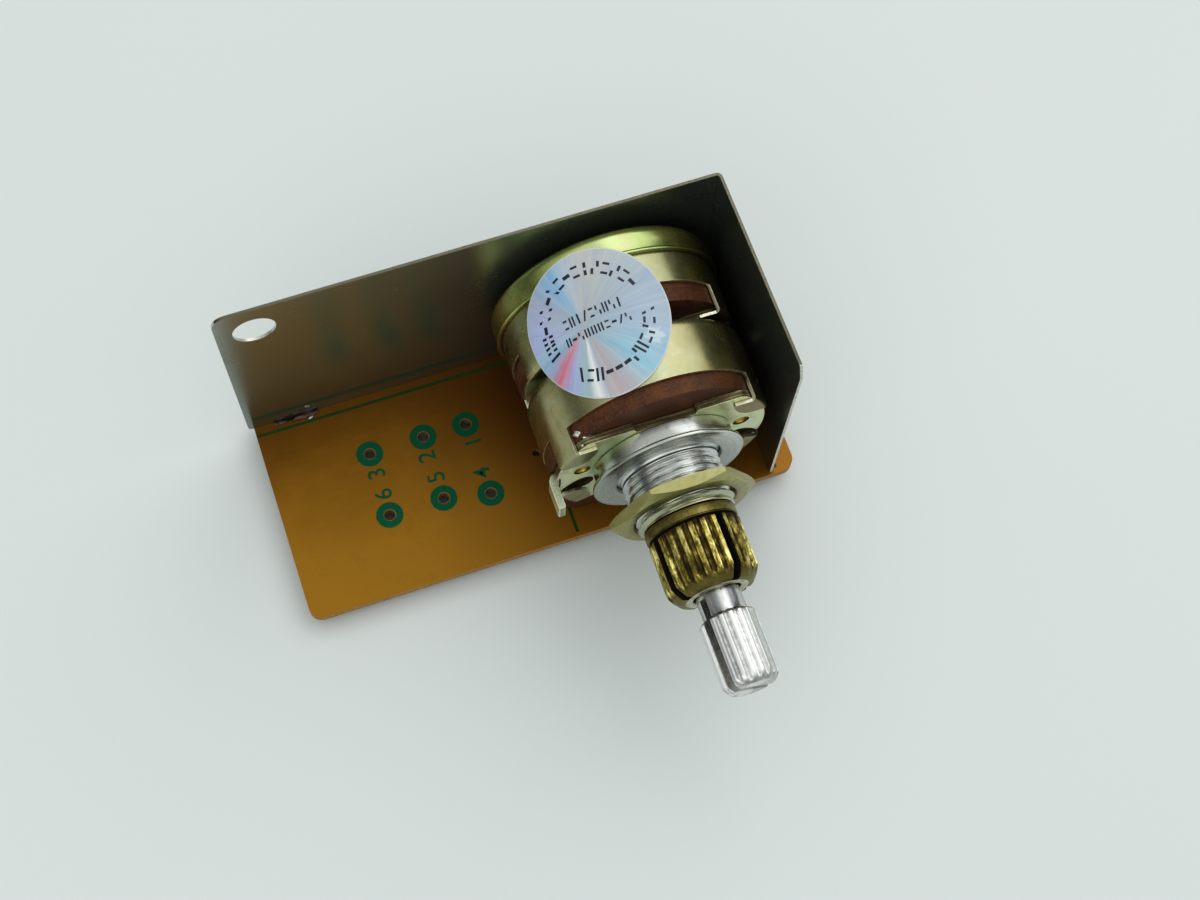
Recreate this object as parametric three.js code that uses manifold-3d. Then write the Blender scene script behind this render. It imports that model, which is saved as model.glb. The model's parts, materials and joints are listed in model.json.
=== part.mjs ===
// Dual concentric rotary level control on a small phenolic board, with an L-shaped shield.
//
// Millimetres, +Z up. The two shafts point along -Y, which is the front. The long wall of the shield
// runs along X behind the control. Lengths are laid out from a working datum: X = 0 at the free end
// of the long wall, Y = 0 on the wall's inner face, Z = 0 on the top face of the board. Parts of the
// control have X = Z = 0 on the shaft axis instead. The exported group stands on Z = 0, centred in
// X and Y.

import * as THREE from 'three';
import { mergeVertices } from 'three/addons/utils/BufferGeometryUtils.js';
import Module from 'manifold-3d';

const wasm = await Module();
wasm.setup();

// ---------------------------------------------------------------- driving dimensions

const SHAFT_X = 37.74; // shaft axis across the board
const SHAFT_Z = 12.5; // shaft axis above the board
const LARGE_SEGMENTS = 36; // facets of cans, cover and washer
const TURNED_SEGMENTS = 24; // facets of the other turned parts
const SMALL_SEGMENTS = 10; // facets of rivets and solder cones

const SHEET = 0.4; // shield sheet
const WALL_LENGTH = 50.0; // long wall, inside length
const TAB_DEPTH = 2.6; // tabs and terminals end this far below the board's top face
const BOARD = { left: 0.56, right: 53.0, front: -22.0, rear: 1.6, thickness: 1.0 };

const GANG_STEP = 9.0; // the rear gang repeats the front gang this far back
const TERMINAL_PITCH = 5.0;
const TERMINAL_HALF_WIDTH = 0.85;
const TERMINAL_SIDES = [-1, 0, 1];

const CAN_R = 11.2; // outside radius of both gang cans
const CAN_WALL = 0.35;
const JOIN_R = CAN_R - 0.12; // parts joined to a can end here, inside its wall
const COVER_R = 11.6;
const DISC_R = 10.75; // plates and wafers inside the legs

const BUSHING_BORE_R = 3.55;
const THREAD_R = 5.0; // M10 x 0.75, major radius; the helix itself is left plain
const SLEEVE_R = 3.45; // outer shaft, running in the bushing
const SLEEVE_BORE_R = 2.55;
const SHAFT_R = 2.45; // inner shaft, running in the sleeve

const RIVETS = [[-6.6, -2.5], [6.6, -2.5]]; // x, z
const RIVET_HOLE_R = 0.86;

// stations along the shaft axis (Y); those of the wafer and rotor are for the front gang
const STATION = {
  coverRear: -1.25, coverLip: -4.45,
  middleRear: -10.2, middleFront: -10.95,
  frontCanRear: -11.5, legEnd: -20.52,
  rotorRear: -13.9, rotorFront: -15.4,
  terminalRear: -16.92, trackRear: -17.19, trackFront: -17.27,
  waferRear: -17.3, waferFront: -19.3,
  plateRear: -19.35, plateFront: -20.15,
  bushingBase: -20.17, washerRear: -21.92, washerFront: -22.36,
  nutRear: -25.7, bushingEnd: -28.1,
  collarFront: -29.3, sleeveSpline: -29.42, sleeveEnd: -35.6,
  shaftSpline: -38.0, shaftEnd: -45.5,
};

// ---------------------------------------------------------------- shape helpers

const rad = THREE.MathUtils.degToRad;

// A closed BufferGeometry as a solid: seams merged, triangles with a repeated corner dropped,
// faces turned outwards.
function solid(geometry) {
  let merged = geometry.clone();
  for (const name of Object.keys(merged.attributes)) {
    if (name !== 'position') merged.deleteAttribute(name);
  }
  merged = mergeVertices(merged, 1e-4);
  const { position } = merged.attributes;
  const index = merged.index.array;
  const triangles = [];
  let volume = 0; // six times the signed volume
  for (let i = 0; i < index.length; i += 3) {
    const corners = [index[i], index[i + 1], index[i + 2]];
    if (new Set(corners).size < 3) continue;
    triangles.push(...corners);
    const [first, second, third] = corners.map(
      (k) => new THREE.Vector3().fromBufferAttribute(position, k));
    volume += first.dot(second.cross(third));
  }
  if (volume < 0) {
    for (let i = 0; i < triangles.length; i += 3) {
      [triangles[i], triangles[i + 1]] = [triangles[i + 1], triangles[i]];
    }
  }
  return new wasm.Manifold(new wasm.Mesh({
    numProp: 3,
    vertProperties: new Float32Array(position.array),
    triVerts: new Uint32Array(triangles),
  }));
}

const addAll = (body, parts) => parts.reduce((sum, part) => sum.add(part), body);
const subtractAll = (body, parts) => parts.reduce((rest, part) => rest.subtract(part), body);

// Revolve [radius, y] points about the Y axis.
// A profile that doesn't touch the axis is closed on itself.
function turn(profile, segments = TURNED_SEGMENTS) {
  const points = profile.map(([radius, y]) => new THREE.Vector2(radius, y));
  if (profile[0][0] > 0) points.push(points[0].clone());
  return solid(new THREE.LatheGeometry(points, segments));
}

function shapeOf(outline, holes = []) {
  const vectors = (points) => points.map(([x, y]) => new THREE.Vector2(x, y));
  const shape = new THREE.Shape(vectors(outline));
  for (const hole of holes) shape.holes.push(new THREE.Path(vectors(hole)));
  return shape;
}

const extrude = (shape, depth) => new THREE.ExtrudeGeometry(shape, { depth, bevelEnabled: false });

function extrudeZ(shape, bottom, top) {
  return solid(extrude(shape, top - bottom).translate(0, 0, bottom));
}

// Shape drawn in (x, z), extruded along Y.
function extrudeY(shape, front, rear) {
  return solid(extrude(shape, rear - front).rotateX(Math.PI / 2).translate(0, rear, 0));
}

// Shape drawn in (y, z), extruded along X.
function extrudeX(shape, left, right) {
  const axes = new THREE.Matrix4().makeBasis(
    new THREE.Vector3(0, 1, 0), new THREE.Vector3(0, 0, 1), new THREE.Vector3(1, 0, 0));
  return solid(extrude(shape, right - left).applyMatrix4(axes).translate(left, 0, 0));
}

function box(left, right, front, rear, bottom, top) {
  const block = new THREE.BoxGeometry(right - left, rear - front, top - bottom);
  return solid(block.translate((left + right) / 2, (front + rear) / 2, (bottom + top) / 2));
}

// Two mirrored boxes, each from |x| = inner to |x| = outer.
function sideBoxes(inner, outer, front, rear, halfHeight) {
  return [[inner, outer], [-outer, -inner]].map(
    ([left, right]) => box(left, right, front, rear, -halfHeight, halfHeight));
}

// A point at an angle from the top (+Z), positive towards +X, in the (x, z) plane.
const polar = (radius, angle) => [radius * Math.sin(rad(angle)), radius * Math.cos(rad(angle))];

function arc(radius, from, to, step = 10) {
  const count = Math.max(1, Math.round(Math.abs(to - from) / step));
  return Array.from({ length: count + 1 },
    (_, i) => polar(radius, from + ((to - from) * i) / count));
}

// Angle from the top at which a circle crosses a given height.
const angleAt = (height, radius) => (Math.acos(height / radius) * 180) / Math.PI;

function circle(x, y, radius, count) {
  return Array.from({ length: count }, (_, i) => {
    const angle = (2 * Math.PI * i) / count;
    return [x + radius * Math.cos(angle), y + radius * Math.sin(angle)];
  });
}

const rectangle = (left, right, front, rear) => [
  [left, front], [right, front], [right, rear], [left, rear]];

const centredRectangle = (x, y, halfX, halfY) => rectangle(
  x - halfX, x + halfX, y - halfY, y + halfY);

function sector(inner, outer, from, to, front, rear) {
  return extrudeY(shapeOf([...arc(outer, from, to), ...arc(inner, to, from)]), front, rear);
}

const rivetPins = (radius, front, rear) => RIVETS.map(
  ([x, z]) => extrudeY(shapeOf(circle(x, z, radius, SMALL_SEGMENTS)), front, rear));

// Round the corners of a polygon given as [x, y, radius].
function rounded(corners, steps) {
  const points = [];
  const count = corners.length;
  corners.forEach(([x, y, radius], i) => {
    if (!radius) {
      points.push([x, y]);
      return;
    }
    const towards = ([toX, toY]) => new THREE.Vector2(toX - x, toY - y).normalize();
    const before = towards(corners[(i + count - 1) % count]);
    const after = towards(corners[(i + 1) % count]);
    const half = Math.acos(THREE.MathUtils.clamp(before.dot(after), -1, 1)) / 2;
    const setback = radius / Math.tan(half);
    const centre = before.clone().add(after).normalize().multiplyScalar(radius / Math.sin(half));
    const from = before.clone().multiplyScalar(setback).sub(centre).angle();
    let sweep = after.clone().multiplyScalar(setback).sub(centre).angle() - from;
    if (sweep > Math.PI) sweep -= 2 * Math.PI;
    if (sweep < -Math.PI) sweep += 2 * Math.PI;
    for (let k = 0; k <= steps; k++) {
      const angle = from + (sweep * k) / steps;
      points.push([
        x + centre.x + radius * Math.cos(angle), y + centre.y + radius * Math.sin(angle)]);
    }
  });
  return points;
}

// Outline of a splined end: teeth of equal pitch between a root and a tip radius.
function splineShape(rootR, tipR, teeth, phase) {
  const pitch = 360 / teeth;
  const rootHalf = 0.42 * pitch;
  const tipHalf = 0.2 * pitch;
  const points = [];
  for (let i = 0; i < teeth; i++) {
    const angle = phase + i * pitch;
    points.push(polar(rootR, angle - rootHalf), polar(tipR, angle - tipHalf),
      polar(tipR, angle + tipHalf), polar(rootR, angle + rootHalf));
  }
  return shapeOf(points);
}

// ---------------------------------------------------------------- shield

const WALL_HEIGHT = 25.76;
const WALL_BASE = 0.02; // gap between the walls and the board
const SIDE_LENGTH = 21.8; // short wall, forward from the long wall
const WALL_HOLE = { x: 3.72, z: 21.85, radius: 2.1 };
const BEND = { inner: 0.3, outer: 0.7 };

// Tabs by centre and size, each with its board slot as left, right, front, rear.
const TAB_THICKNESS = 0.34;
const TABS = [
  { name: 'left', x: 5.1, y: SHEET / 2, sizeX: 4.2, sizeY: TAB_THICKNESS,
    slot: [2.7, 7.5, -0.3, 0.6] },
  { name: 'right', x: 46.0, y: SHEET / 2, sizeX: 3.2, sizeY: TAB_THICKNESS,
    slot: [44.1, 47.9, -0.3, 0.6] },
  { name: 'side', x: WALL_LENGTH + SHEET / 2, y: -14.0, sizeX: TAB_THICKNESS, sizeY: 3.2,
    slot: [49.75, 50.65, -15.9, -12.1] },
];

function shieldTab({ x, y, sizeX, sizeY }) {
  return box(x - sizeX / 2, x + sizeX / 2, y - sizeY / 2, y + sizeY / 2, -TAB_DEPTH, 0.4);
}

function shieldBracket() {
  const outside = WALL_LENGTH + SHEET;
  const top = WALL_HEIGHT;
  const outline = rounded([
    [0, 0, 0], [WALL_LENGTH, 0, BEND.inner], [WALL_LENGTH, -SIDE_LENGTH, 0],
    [outside, -SIDE_LENGTH, 0], [outside, SHEET, BEND.outer], [0, SHEET, 0],
  ], 4);
  // x, z: clipped top corner of the free end
  const topCorner = [
    [-1, top - 1.5], [0, top - 1.5], [0.22, top - 0.75], [0.72, top - 0.22],
    [1.5, top], [1.5, top + 1], [-1, top + 1],
  ];
  // x, z: eased bottom corner of the free end
  const bottomCorner = [
    [-1, -1], [0.6, -1], [0.6, WALL_BASE], [0.18, 0.2], [0, 0.6], [-1, 0.6]];
  // y, z: clipped front top corner of the short wall
  const sideCorner = [
    [-SIDE_LENGTH - 1, top - 1.6], [-SIDE_LENGTH, top - 1.6], [-SIDE_LENGTH + 0.75, top],
    [-SIDE_LENGTH + 0.75, top + 1], [-SIDE_LENGTH - 1, top + 1],
  ];
  const hole = circle(WALL_HOLE.x, WALL_HOLE.z, WALL_HOLE.radius, 28);
  const walls = subtractAll(extrudeZ(shapeOf(outline), WALL_BASE, top), [
    ...[topCorner, bottomCorner, hole].map((cut) => extrudeY(shapeOf(cut), -1, 1)),
    extrudeX(shapeOf(sideCorner), WALL_LENGTH - 1, WALL_LENGTH + 1),
  ]);
  return addAll(walls, TABS.map(shieldTab));
}

// ---------------------------------------------------------------- board

// x, y of wire holes 1 to 6
const WIRE_HOLES = [
  [21.61, -6.51], [16.97, -6.47], [11.15, -6.54],
  [21.75, -14.69], [16.99, -13.66], [11.17, -13.67],
];
const WIRE_HOLE_R = 0.57;
const TERMINAL_HOLE_R = 0.62;
const EXTRA_HOLE = { x: 27.64, y: -11.9, radius: 0.4 };
const TERMINAL_ROW_Y = -17.1; // front row

const TERMINAL_SPOTS = [0, GANG_STEP].flatMap((shift) => TERMINAL_SIDES.map(
  (side) => [SHAFT_X + side * TERMINAL_PITCH, TERMINAL_ROW_Y + shift]));

function circuitBoard() {
  const { left, right, front, rear, thickness } = BOARD;
  const outline = rounded([
    [left, front, 1.3], [right, front, 1.5], [right, rear, 0.5], [left, rear, 0.5]], 4);
  const holes = [
    ...WIRE_HOLES.map(([x, y]) => circle(x, y, WIRE_HOLE_R, 12)),
    ...TERMINAL_SPOTS.map(([x, y]) => circle(x, y, TERMINAL_HOLE_R, 8)),
    circle(EXTRA_HOLE.x, EXTRA_HOLE.y, EXTRA_HOLE.radius, 8),
    ...TABS.map(({ slot }) => rectangle(...slot)),
  ];
  return subtractAll(extrudeZ(shapeOf(outline), -thickness, 0),
    holes.map((hole) => extrudeZ(shapeOf(hole), -thickness - 1, 1)));
}

// Solder cone round a terminal, under the board.
function solderCone(x, y) {
  const under = -BOARD.thickness;
  const cone = turn([
    [0.54, under - 0.02], [1.15, under - 0.02], [0.72, under - 0.55], [0.56, under - 1.05],
  ], SMALL_SEGMENTS);
  return cone.rotate([90, 0, 0]).translate([x, y, 0]);
}

// Solder bead round a shield tab, under the board: a wide layer with a narrower one below it.
function solderBead({ x, y, sizeX, sizeY }) {
  const under = -BOARD.thickness;
  const around = (margin) => centredRectangle(x, y, sizeX / 2 + margin, sizeY / 2 + margin);
  const layer = (margin, radius, bottom, top) => {
    const corners = around(margin).map((corner) => [...corner, radius]);
    return extrudeZ(shapeOf(rounded(corners, 2), [around(0.1)]), bottom, top);
  };
  return layer(0.8, 0.6, under - 0.4, under - 0.02)
    .add(layer(0.4, 0.4, under - 0.95, under - 0.3));
}

// ---------------------------------------------------------------- plates

// heights of the plates' flat edges above or below the shaft axis
const FRONT_TOP_EDGE = 7.3;
const MIDDLE_TOP_EDGE = 6.2;
const BOTTOM_EDGE = 7.0;

// Disc with flat top and bottom edges.
function plateOutline(topEdge) {
  const start = angleAt(topEdge, DISC_R);
  const end = 180 - angleAt(BOTTOM_EDGE, DISC_R);
  return [...arc(DISC_R, start, end), ...arc(DISC_R, -end, -start)];
}

// x, z: half-moon relief in the right edge of the front plate, just above a lower leg
const RELIEF = [
  [11.2, -2.8], [10.38, -2.8], [9.6, -1.9], [8.7, -1.25], [7.9, -1.08], [7.2, -1.45],
  [6.95, -2.3], [7.3, -3.1], [8.2, -3.62], [9.3, -3.5], [10.2, -3.4], [11.2, -3.4],
];

function frontPlate() {
  const { plateFront, plateRear } = STATION;
  const top = FRONT_TOP_EDGE;
  const notch = [[-3.0, top], [-2.75, top - 0.75], [2.85, top - 0.75], [3.1, top]];
  const holes = [
    circle(0, 0, 4.56, TURNED_SEGMENTS), circle(8.2, 1.05, 0.85, 12), circle(-8.2, 1.05, 0.85, 12),
  ];
  const disc = extrudeY(
    shapeOf([...plateOutline(top), ...notch], holes), plateFront, plateRear);
  const reliefs = [1, -1].map((side) => extrudeY(
    shapeOf(RELIEF.map(([x, z]) => [side * x, z])), plateFront - 1, plateRear + 1));
  // anti-rotation lug: the plate's left edge bent forward
  const lug = { left: -11.6, right: -10.8, bottom: -1.7, top: 0.7, front: -23.1, chamfer: 0.3 };
  const chamferRear = lug.front + lug.chamfer;
  const lugSide = [
    [plateRear, lug.bottom], [plateRear, lug.top], [chamferRear, lug.top],
    [lug.front, lug.top - lug.chamfer], [lug.front, lug.bottom + lug.chamfer],
    [chamferRear, lug.bottom],
  ];
  return addAll(subtractAll(disc, reliefs), [
    box(lug.left, -10.3, plateFront, plateRear, lug.bottom, lug.top),
    extrudeX(shapeOf(lugSide), lug.left, lug.right),
  ]);
}

function middlePlate() {
  return extrudeY(shapeOf(plateOutline(MIDDLE_TOP_EDGE), [
    circle(0, 0, SLEEVE_BORE_R, TURNED_SEGMENTS),
    ...RIVETS.map(([x, z]) => circle(x, z, RIVET_HOLE_R, SMALL_SEGMENTS)),
  ]), STATION.middleFront, STATION.middleRear);
}

// ---------------------------------------------------------------- cans and cover

// angular span of a can leg, from the top (and mirrored to the lower half)
const LEG = { from: 54, to: 71 };
const STOP_HALF = 15; // half angle of the stop in each can
const SHELL_BEND_R = 1.2; // outside radius of the bend at the rear of a drawn shell

// [radius, y] points of the bend at a shell's rear edge, from the rear face to the side.
function shellBend(arcR, shellR, rear) {
  return [90, 45, 0].map((angle) => [
    shellR - SHELL_BEND_R + arcR * Math.cos(rad(angle)),
    rear - SHELL_BEND_R + arcR * Math.sin(rad(angle)),
  ]);
}

// Cut the windows between a can's four legs back to their edges, and fold the legs' ends inwards.
function withLegs(can, edges, foldFront, foldRear) {
  const { from, to } = LEG;
  const windows = [
    [-from, from, edges.top], [to, 180 - to, edges.side], [-180 + to, -to, edges.side],
    [180 - from, 180 + from, edges.bottom],
  ].map(([start, end, edge]) => sector(9.6, 13, start, end, foldFront - 1, edge));
  const folds = [
    [from, to], [-to, -from], [180 - to, 180 - from], [from - 180, to - 180],
  ].map(([start, end]) => extrudeY(shapeOf([
    ...arc(JOIN_R, start + 0.6, end - 0.6), ...arc(8.8, end - 1.2, start + 1.2),
  ]), foldFront, foldRear));
  return addAll(subtractAll(can, windows), folds);
}

function canStop(shift) {
  return sector(9.0, JOIN_R, 180 - STOP_HALF, 180 + STOP_HALF, -15.0 + shift, -13.0 + shift);
}

function frontCan() {
  const { frontCanRear: rear, legEnd, plateFront } = STATION;
  const boreR = 3.0;
  const shell = turn([
    [boreR, rear], ...shellBend(SHELL_BEND_R, CAN_R, rear),
    [CAN_R, legEnd], [CAN_R - CAN_WALL, legEnd],
    ...shellBend(SHELL_BEND_R - CAN_WALL, CAN_R, rear).reverse(), [boreR, rear - CAN_WALL],
  ], LARGE_SEGMENTS);
  const edges = { top: -17.6, side: -17.25, bottom: -16.4 };
  const can = withLegs(shell, edges, legEnd, plateFront - 0.02).add(canStop(0));
  return subtractAll(can, rivetPins(RIVET_HOLE_R, -12.2, -11.2));
}

function rearCan() {
  const inside = CAN_R - CAN_WALL;
  const rear = -2.5;
  const front = STATION.middleFront - 0.37;
  const shell = turn(
    [[inside, rear], [CAN_R, rear], [CAN_R, front], [inside, front]], LARGE_SEGMENTS);
  const edges = { top: -8.2, side: -8.2, bottom: -7.3 };
  return withLegs(shell, edges, front, STATION.middleFront - 0.02).add(canStop(GANG_STEP));
}

function rearCover() {
  const { coverRear: rear, coverLip: lip } = STATION;
  const lipR = COVER_R + 0.1;
  return turn([
    [0, rear], ...shellBend(SHELL_BEND_R, COVER_R, rear),
    [COVER_R, -4.15], [lipR, -4.25], [lipR, lip], [COVER_R - CAN_WALL, lip],
    ...shellBend(SHELL_BEND_R - CAN_WALL, COVER_R, rear).reverse(), [0, rear - CAN_WALL],
  ], LARGE_SEGMENTS);
}

// ---------------------------------------------------------------- wafers, tracks, terminals

const TONGUE = { halfWidth: 9.6, top: -6.95, bottom: -11.7 };
const TRACK = { inner: 8.0, outer: 9.8, halfAngle: 152 };
const COLLECTOR = { inner: 4.7, outer: 5.9 };

// Phenolic wafer: a disc with a wide tongue reaching down towards the board.
function wafer(shift, holeR) {
  const { halfWidth, top, bottom } = TONGUE;
  const end = angleAt(top, DISC_R);
  const tongue = rounded([
    [halfWidth, top, 0.4], [halfWidth, bottom, 2.0], [-halfWidth, bottom, 2.0],
    [-halfWidth, top, 0.4],
  ], 3);
  return extrudeY(
    shapeOf([...arc(DISC_R, -end, end), ...tongue], [circle(0, 0, holeR, TURNED_SEGMENTS)]),
    STATION.waferFront + shift, STATION.waferRear + shift);
}

// The front wafer has a round recess in its front face.
function frontWafer() {
  return wafer(0, 4.35).subtract(turn([[0, -18.78], [5.6, -18.78], [5.6, -19.6], [0, -19.6]]));
}

// The rear wafer's front face is trimmed clear of the middle plate and relieved at the rivets.
function rearWafer() {
  const trimmed = wafer(GANG_STEP, 3.4).intersect(box(-12, 12, -10.17, -8.0, -12, 12));
  return subtractAll(trimmed, rivetPins(1.5, -10.5, -9.75));
}

// Resistive arc with a pad at each outer terminal.
function track(shift) {
  const { inner, outer, halfAngle } = TRACK;
  const front = STATION.trackFront + shift;
  const rear = STATION.trackRear + shift;
  const pads = [-TERMINAL_PITCH, TERMINAL_PITCH].map((x) => box(
    x - TERMINAL_HALF_WIDTH, x + TERMINAL_HALF_WIDTH, front, rear, -9.66, -inner));
  return addAll(sector(inner, outer, -halfAngle, halfAngle, front, rear), pads);
}

function collector(shift) {
  return turn(rectangle(COLLECTOR.inner, COLLECTOR.outer,
    STATION.trackFront + shift, STATION.trackRear + shift));
}

// Flat terminal on the wafer's rear face, stepping down to a tail that passes through the board.
function terminal(side, shift) {
  const x = side * TERMINAL_PITCH;
  const wide = TERMINAL_HALF_WIDTH;
  const tail = 0.4;
  const point = 0.2;
  const top = side === 0 ? -5.96 : -9.7;
  const step = -SHAFT_Z + 0.75;
  const tip = -SHAFT_Z - TAB_DEPTH;
  return extrudeY(shapeOf([
    [x - wide, top], [x - wide, step + 0.5], [x - tail, step], [x - tail, tip + 0.5],
    [x - point, tip], [x + point, tip],
    [x + tail, tip + 0.5], [x + tail, step], [x + wide, step + 0.5], [x + wide, top],
  ]), STATION.trackFront + shift, STATION.terminalRear + shift);
}

// Rivet joining the two gangs, with a collar between the middle plate and the front can.
function gangRivet([x, z]) {
  return turn([
    [0, -9.86], [0.9, -9.86], [1.3, -10.18], [0.8, -10.18], [0.8, -10.97], [1.2, -10.97],
    [1.2, -11.48], [0.8, -11.48], [0.8, -11.87], [1.3, -11.87], [0.9, -12.15], [0, -12.15],
  ], SMALL_SEGMENTS).translate([x, 0, z]);
}

// ---------------------------------------------------------------- bushing and its hardware

const NUT = { acrossFlats: 13.0, thickness: 1.2, boreR: THREAD_R + 0.09 };
const WASHER = { outer: 7.75, hole: 5.4 };

function bushing() {
  const { bushingBase, bushingEnd } = STATION;
  return turn([
    [BUSHING_BORE_R, -18.85], [5.3, -18.85], [5.3, -19.33], [4.5, -19.33], [4.5, bushingBase],
    [7.1, bushingBase], [7.1, -21.7], [6.9, -21.88], [4.75, -21.88],
    [4.7, -22.3], [THREAD_R, -22.6], [THREAD_R, bushingEnd + 0.35], [4.65, bushingEnd],
    [BUSHING_BORE_R, bushingEnd],
  ]);
}

function flatWasher() {
  const { washerRear, washerFront } = STATION;
  const { outer, hole } = WASHER;
  return turn([
    [hole, washerRear], [outer - 0.06, washerRear], [outer, washerRear - 0.08],
    [outer, washerFront], [hole, washerFront],
  ], LARGE_SEGMENTS);
}

function hexNut() {
  const cornerR = NUT.acrossFlats / 2 / Math.cos(rad(30));
  const rear = STATION.nutRear;
  const front = rear - NUT.thickness;
  const corners = [30, 90, 150, 210, 270, 330].map((angle) => polar(cornerR, angle));
  const bore = circle(0, 0, NUT.boreR, TURNED_SEGMENTS);
  const envelope = turn([
    [0, rear], [7.1, rear], [7.6, rear - 0.25], [7.6, front + 0.45], [6.5, front], [0, front]]);
  return extrudeY(shapeOf(corners, [bore]), front, rear).intersect(envelope);
}

// ---------------------------------------------------------------- turning parts

const SLEEVE_HEAD = { root: 4.14, tip: 4.58, teeth: 24 };
const SHAFT_HEAD = { root: 2.5, tip: 2.82, teeth: 18 };
const SAW_CUT_ANGLE = 26.4;
const SHAFT_SLOT_ANGLE = -56;
const TOOTH_HALF = 14; // half angle of each rotor's tooth

function outerSleeve() {
  const { bushingEnd, collarFront, sleeveSpline, sleeveEnd } = STATION;
  const bore = SLEEVE_BORE_R;
  const { root, tip, teeth } = SLEEVE_HEAD;
  const collarRear = bushingEnd - 0.08;
  const tube = turn([
    [bore, -12.15], [3.2, -12.15], [3.2, -12.35], [2.9, -12.35], [2.9, -12.95], [3.2, -12.95],
    [3.2, -15.42], [SLEEVE_R, -15.42], [SLEEVE_R, collarRear], [tip, collarRear],
    [tip, collarFront], [3.95, collarFront], [3.95, -34.9], [bore, -34.9],
  ]);
  const envelope = turn([
    [0, sleeveSpline], [tip, sleeveSpline], [tip, -34.5], [3.75, sleeveEnd], [0, sleeveEnd]]);
  const halfPitch = 180 / teeth;
  const spline = splineShape(root, tip, teeth, SAW_CUT_ANGLE + halfPitch);
  const head = extrudeY(spline, sleeveEnd - 0.1, sleeveSpline + 0.1)
    .intersect(envelope)
    .subtract(turn([[0, -29], [bore, -29], [bore, -36], [0, -36]]));
  // two cuts across the head make the four slots that let it grip a knob
  const sawCuts = [SAW_CUT_ANGLE, SAW_CUT_ANGLE + 90].map(
    (angle) => box(-0.5, 0.5, -36, -29.75, -6, 6).rotate([0, angle, 0]));
  const rotorFlats = sideBoxes(2.9, 4, -15.42, -11.9, 4);
  return subtractAll(tube.add(head), [...sawCuts, ...rotorFlats]);
}

function innerShaft() {
  const { shaftSpline, shaftEnd } = STATION;
  const { root, tip, teeth } = SHAFT_HEAD;
  const rod = turn([
    [0, -3.1], [2.0, -3.1], [2.0, -3.5], [1.6, -3.5], [1.6, -4.0], [2.0, -4.0], [2.0, -6.47],
    [SHAFT_R, -6.47], [SHAFT_R, -44.9], [0, -44.9],
  ]);
  const envelope = turn([
    [0, shaftSpline], [SHAFT_R, shaftSpline], [tip, shaftSpline - 0.3], [tip, -44.8],
    [2.2, shaftEnd], [0, shaftEnd],
  ]);
  const head = extrudeY(splineShape(root, tip, teeth, 0), shaftEnd - 0.1, shaftSpline + 0.1)
    .intersect(envelope);
  // through slot at the knob end
  const slot = box(-0.55, 0.55, -46.5, -36.35, -4, 4).rotate([0, SHAFT_SLOT_ANGLE, 0]);
  const rotorFlats = sideBoxes(1.75, 3, -6.47, -2.9, 4);
  return subtractAll(rod.add(head), [slot, ...rotorFlats]);
}

// Moulded rotor disc with a hub, one stop tooth and two bore pads that make a double-D.
function rotor(profile, shift, borePads) {
  const tooth = sector(8.3, 10.3, -TOOTH_HALF, TOOTH_HALF,
    STATION.rotorFront + 0.05 + shift, STATION.rotorRear - 0.05 + shift);
  return addAll(turn(profile), [tooth, ...borePads]);
}

function frontRotor() {
  const { rotorFront, rotorRear } = STATION;
  return rotor([
    [3.5, -18.7], [4.2, -18.7], [4.2, rotorFront], [8.6, rotorFront], [8.6, rotorRear],
    [5.2, rotorRear], [5.2, -13.0], [3.28, -13.0], [3.28, -15.38], [3.5, -15.38],
  ], 0, sideBoxes(2.98, 3.6, -15.36, -13.0, 1.4));
}

function rearRotor() {
  const front = STATION.rotorFront + GANG_STEP;
  const rear = STATION.rotorRear + GANG_STEP;
  return rotor([
    [2.52, -10.1], [3.2, -10.1], [3.2, front], [8.6, front], [8.6, rear], [4.2, rear],
    [4.2, -4.08], [2.08, -4.08], [2.08, -6.42], [2.52, -6.42],
  ], GANG_STEP, sideBoxes(1.83, 2.4, front, -4.08, 0.9));
}

// y, z: side view of the front gang's wiper
const WIPER = [
  [-15.42, 4.4], [-15.42, 9.3], [-15.75, 9.3], [-17.11, 9.05], [-17.11, 8.7], [-15.75, 9.0],
  [-15.6, 8.85], [-15.6, 5.85], [-15.75, 5.7], [-17.11, 5.45], [-17.11, 5.1], [-15.75, 5.35],
  [-15.6, 5.2], [-15.6, 4.4],
];

// Spring wiper: a flat bridge with one finger on the track and one on the collector ring.
function wiper(shift) {
  return extrudeX(shapeOf(WIPER.map(([y, z]) => [y + shift, z])), -1.1, 1.1);
}

// Ring with a gap at the top.
function snapRing(inner, outer, front, rear) {
  const outline = [...arc(outer, 20, 340, 20), ...arc(inner, 340, 20, 20)];
  return extrudeY(shapeOf(outline), front, rear);
}

// ---------------------------------------------------------------- foil seal

const SEAL = {
  angle: -18.8, y: -9.8, radius: 7.5, thickness: 0.06, rings: 5, spokes: 30,
  wrapR: 11.5, // turns a length round the patch into an angle
  coverR: 11.8, canR: 11.33, // inside radius over the cover and over the cans
  rampRear: 5.3, rampFront: 6.9, // the radius eases between these distances along -Y
};

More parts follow.
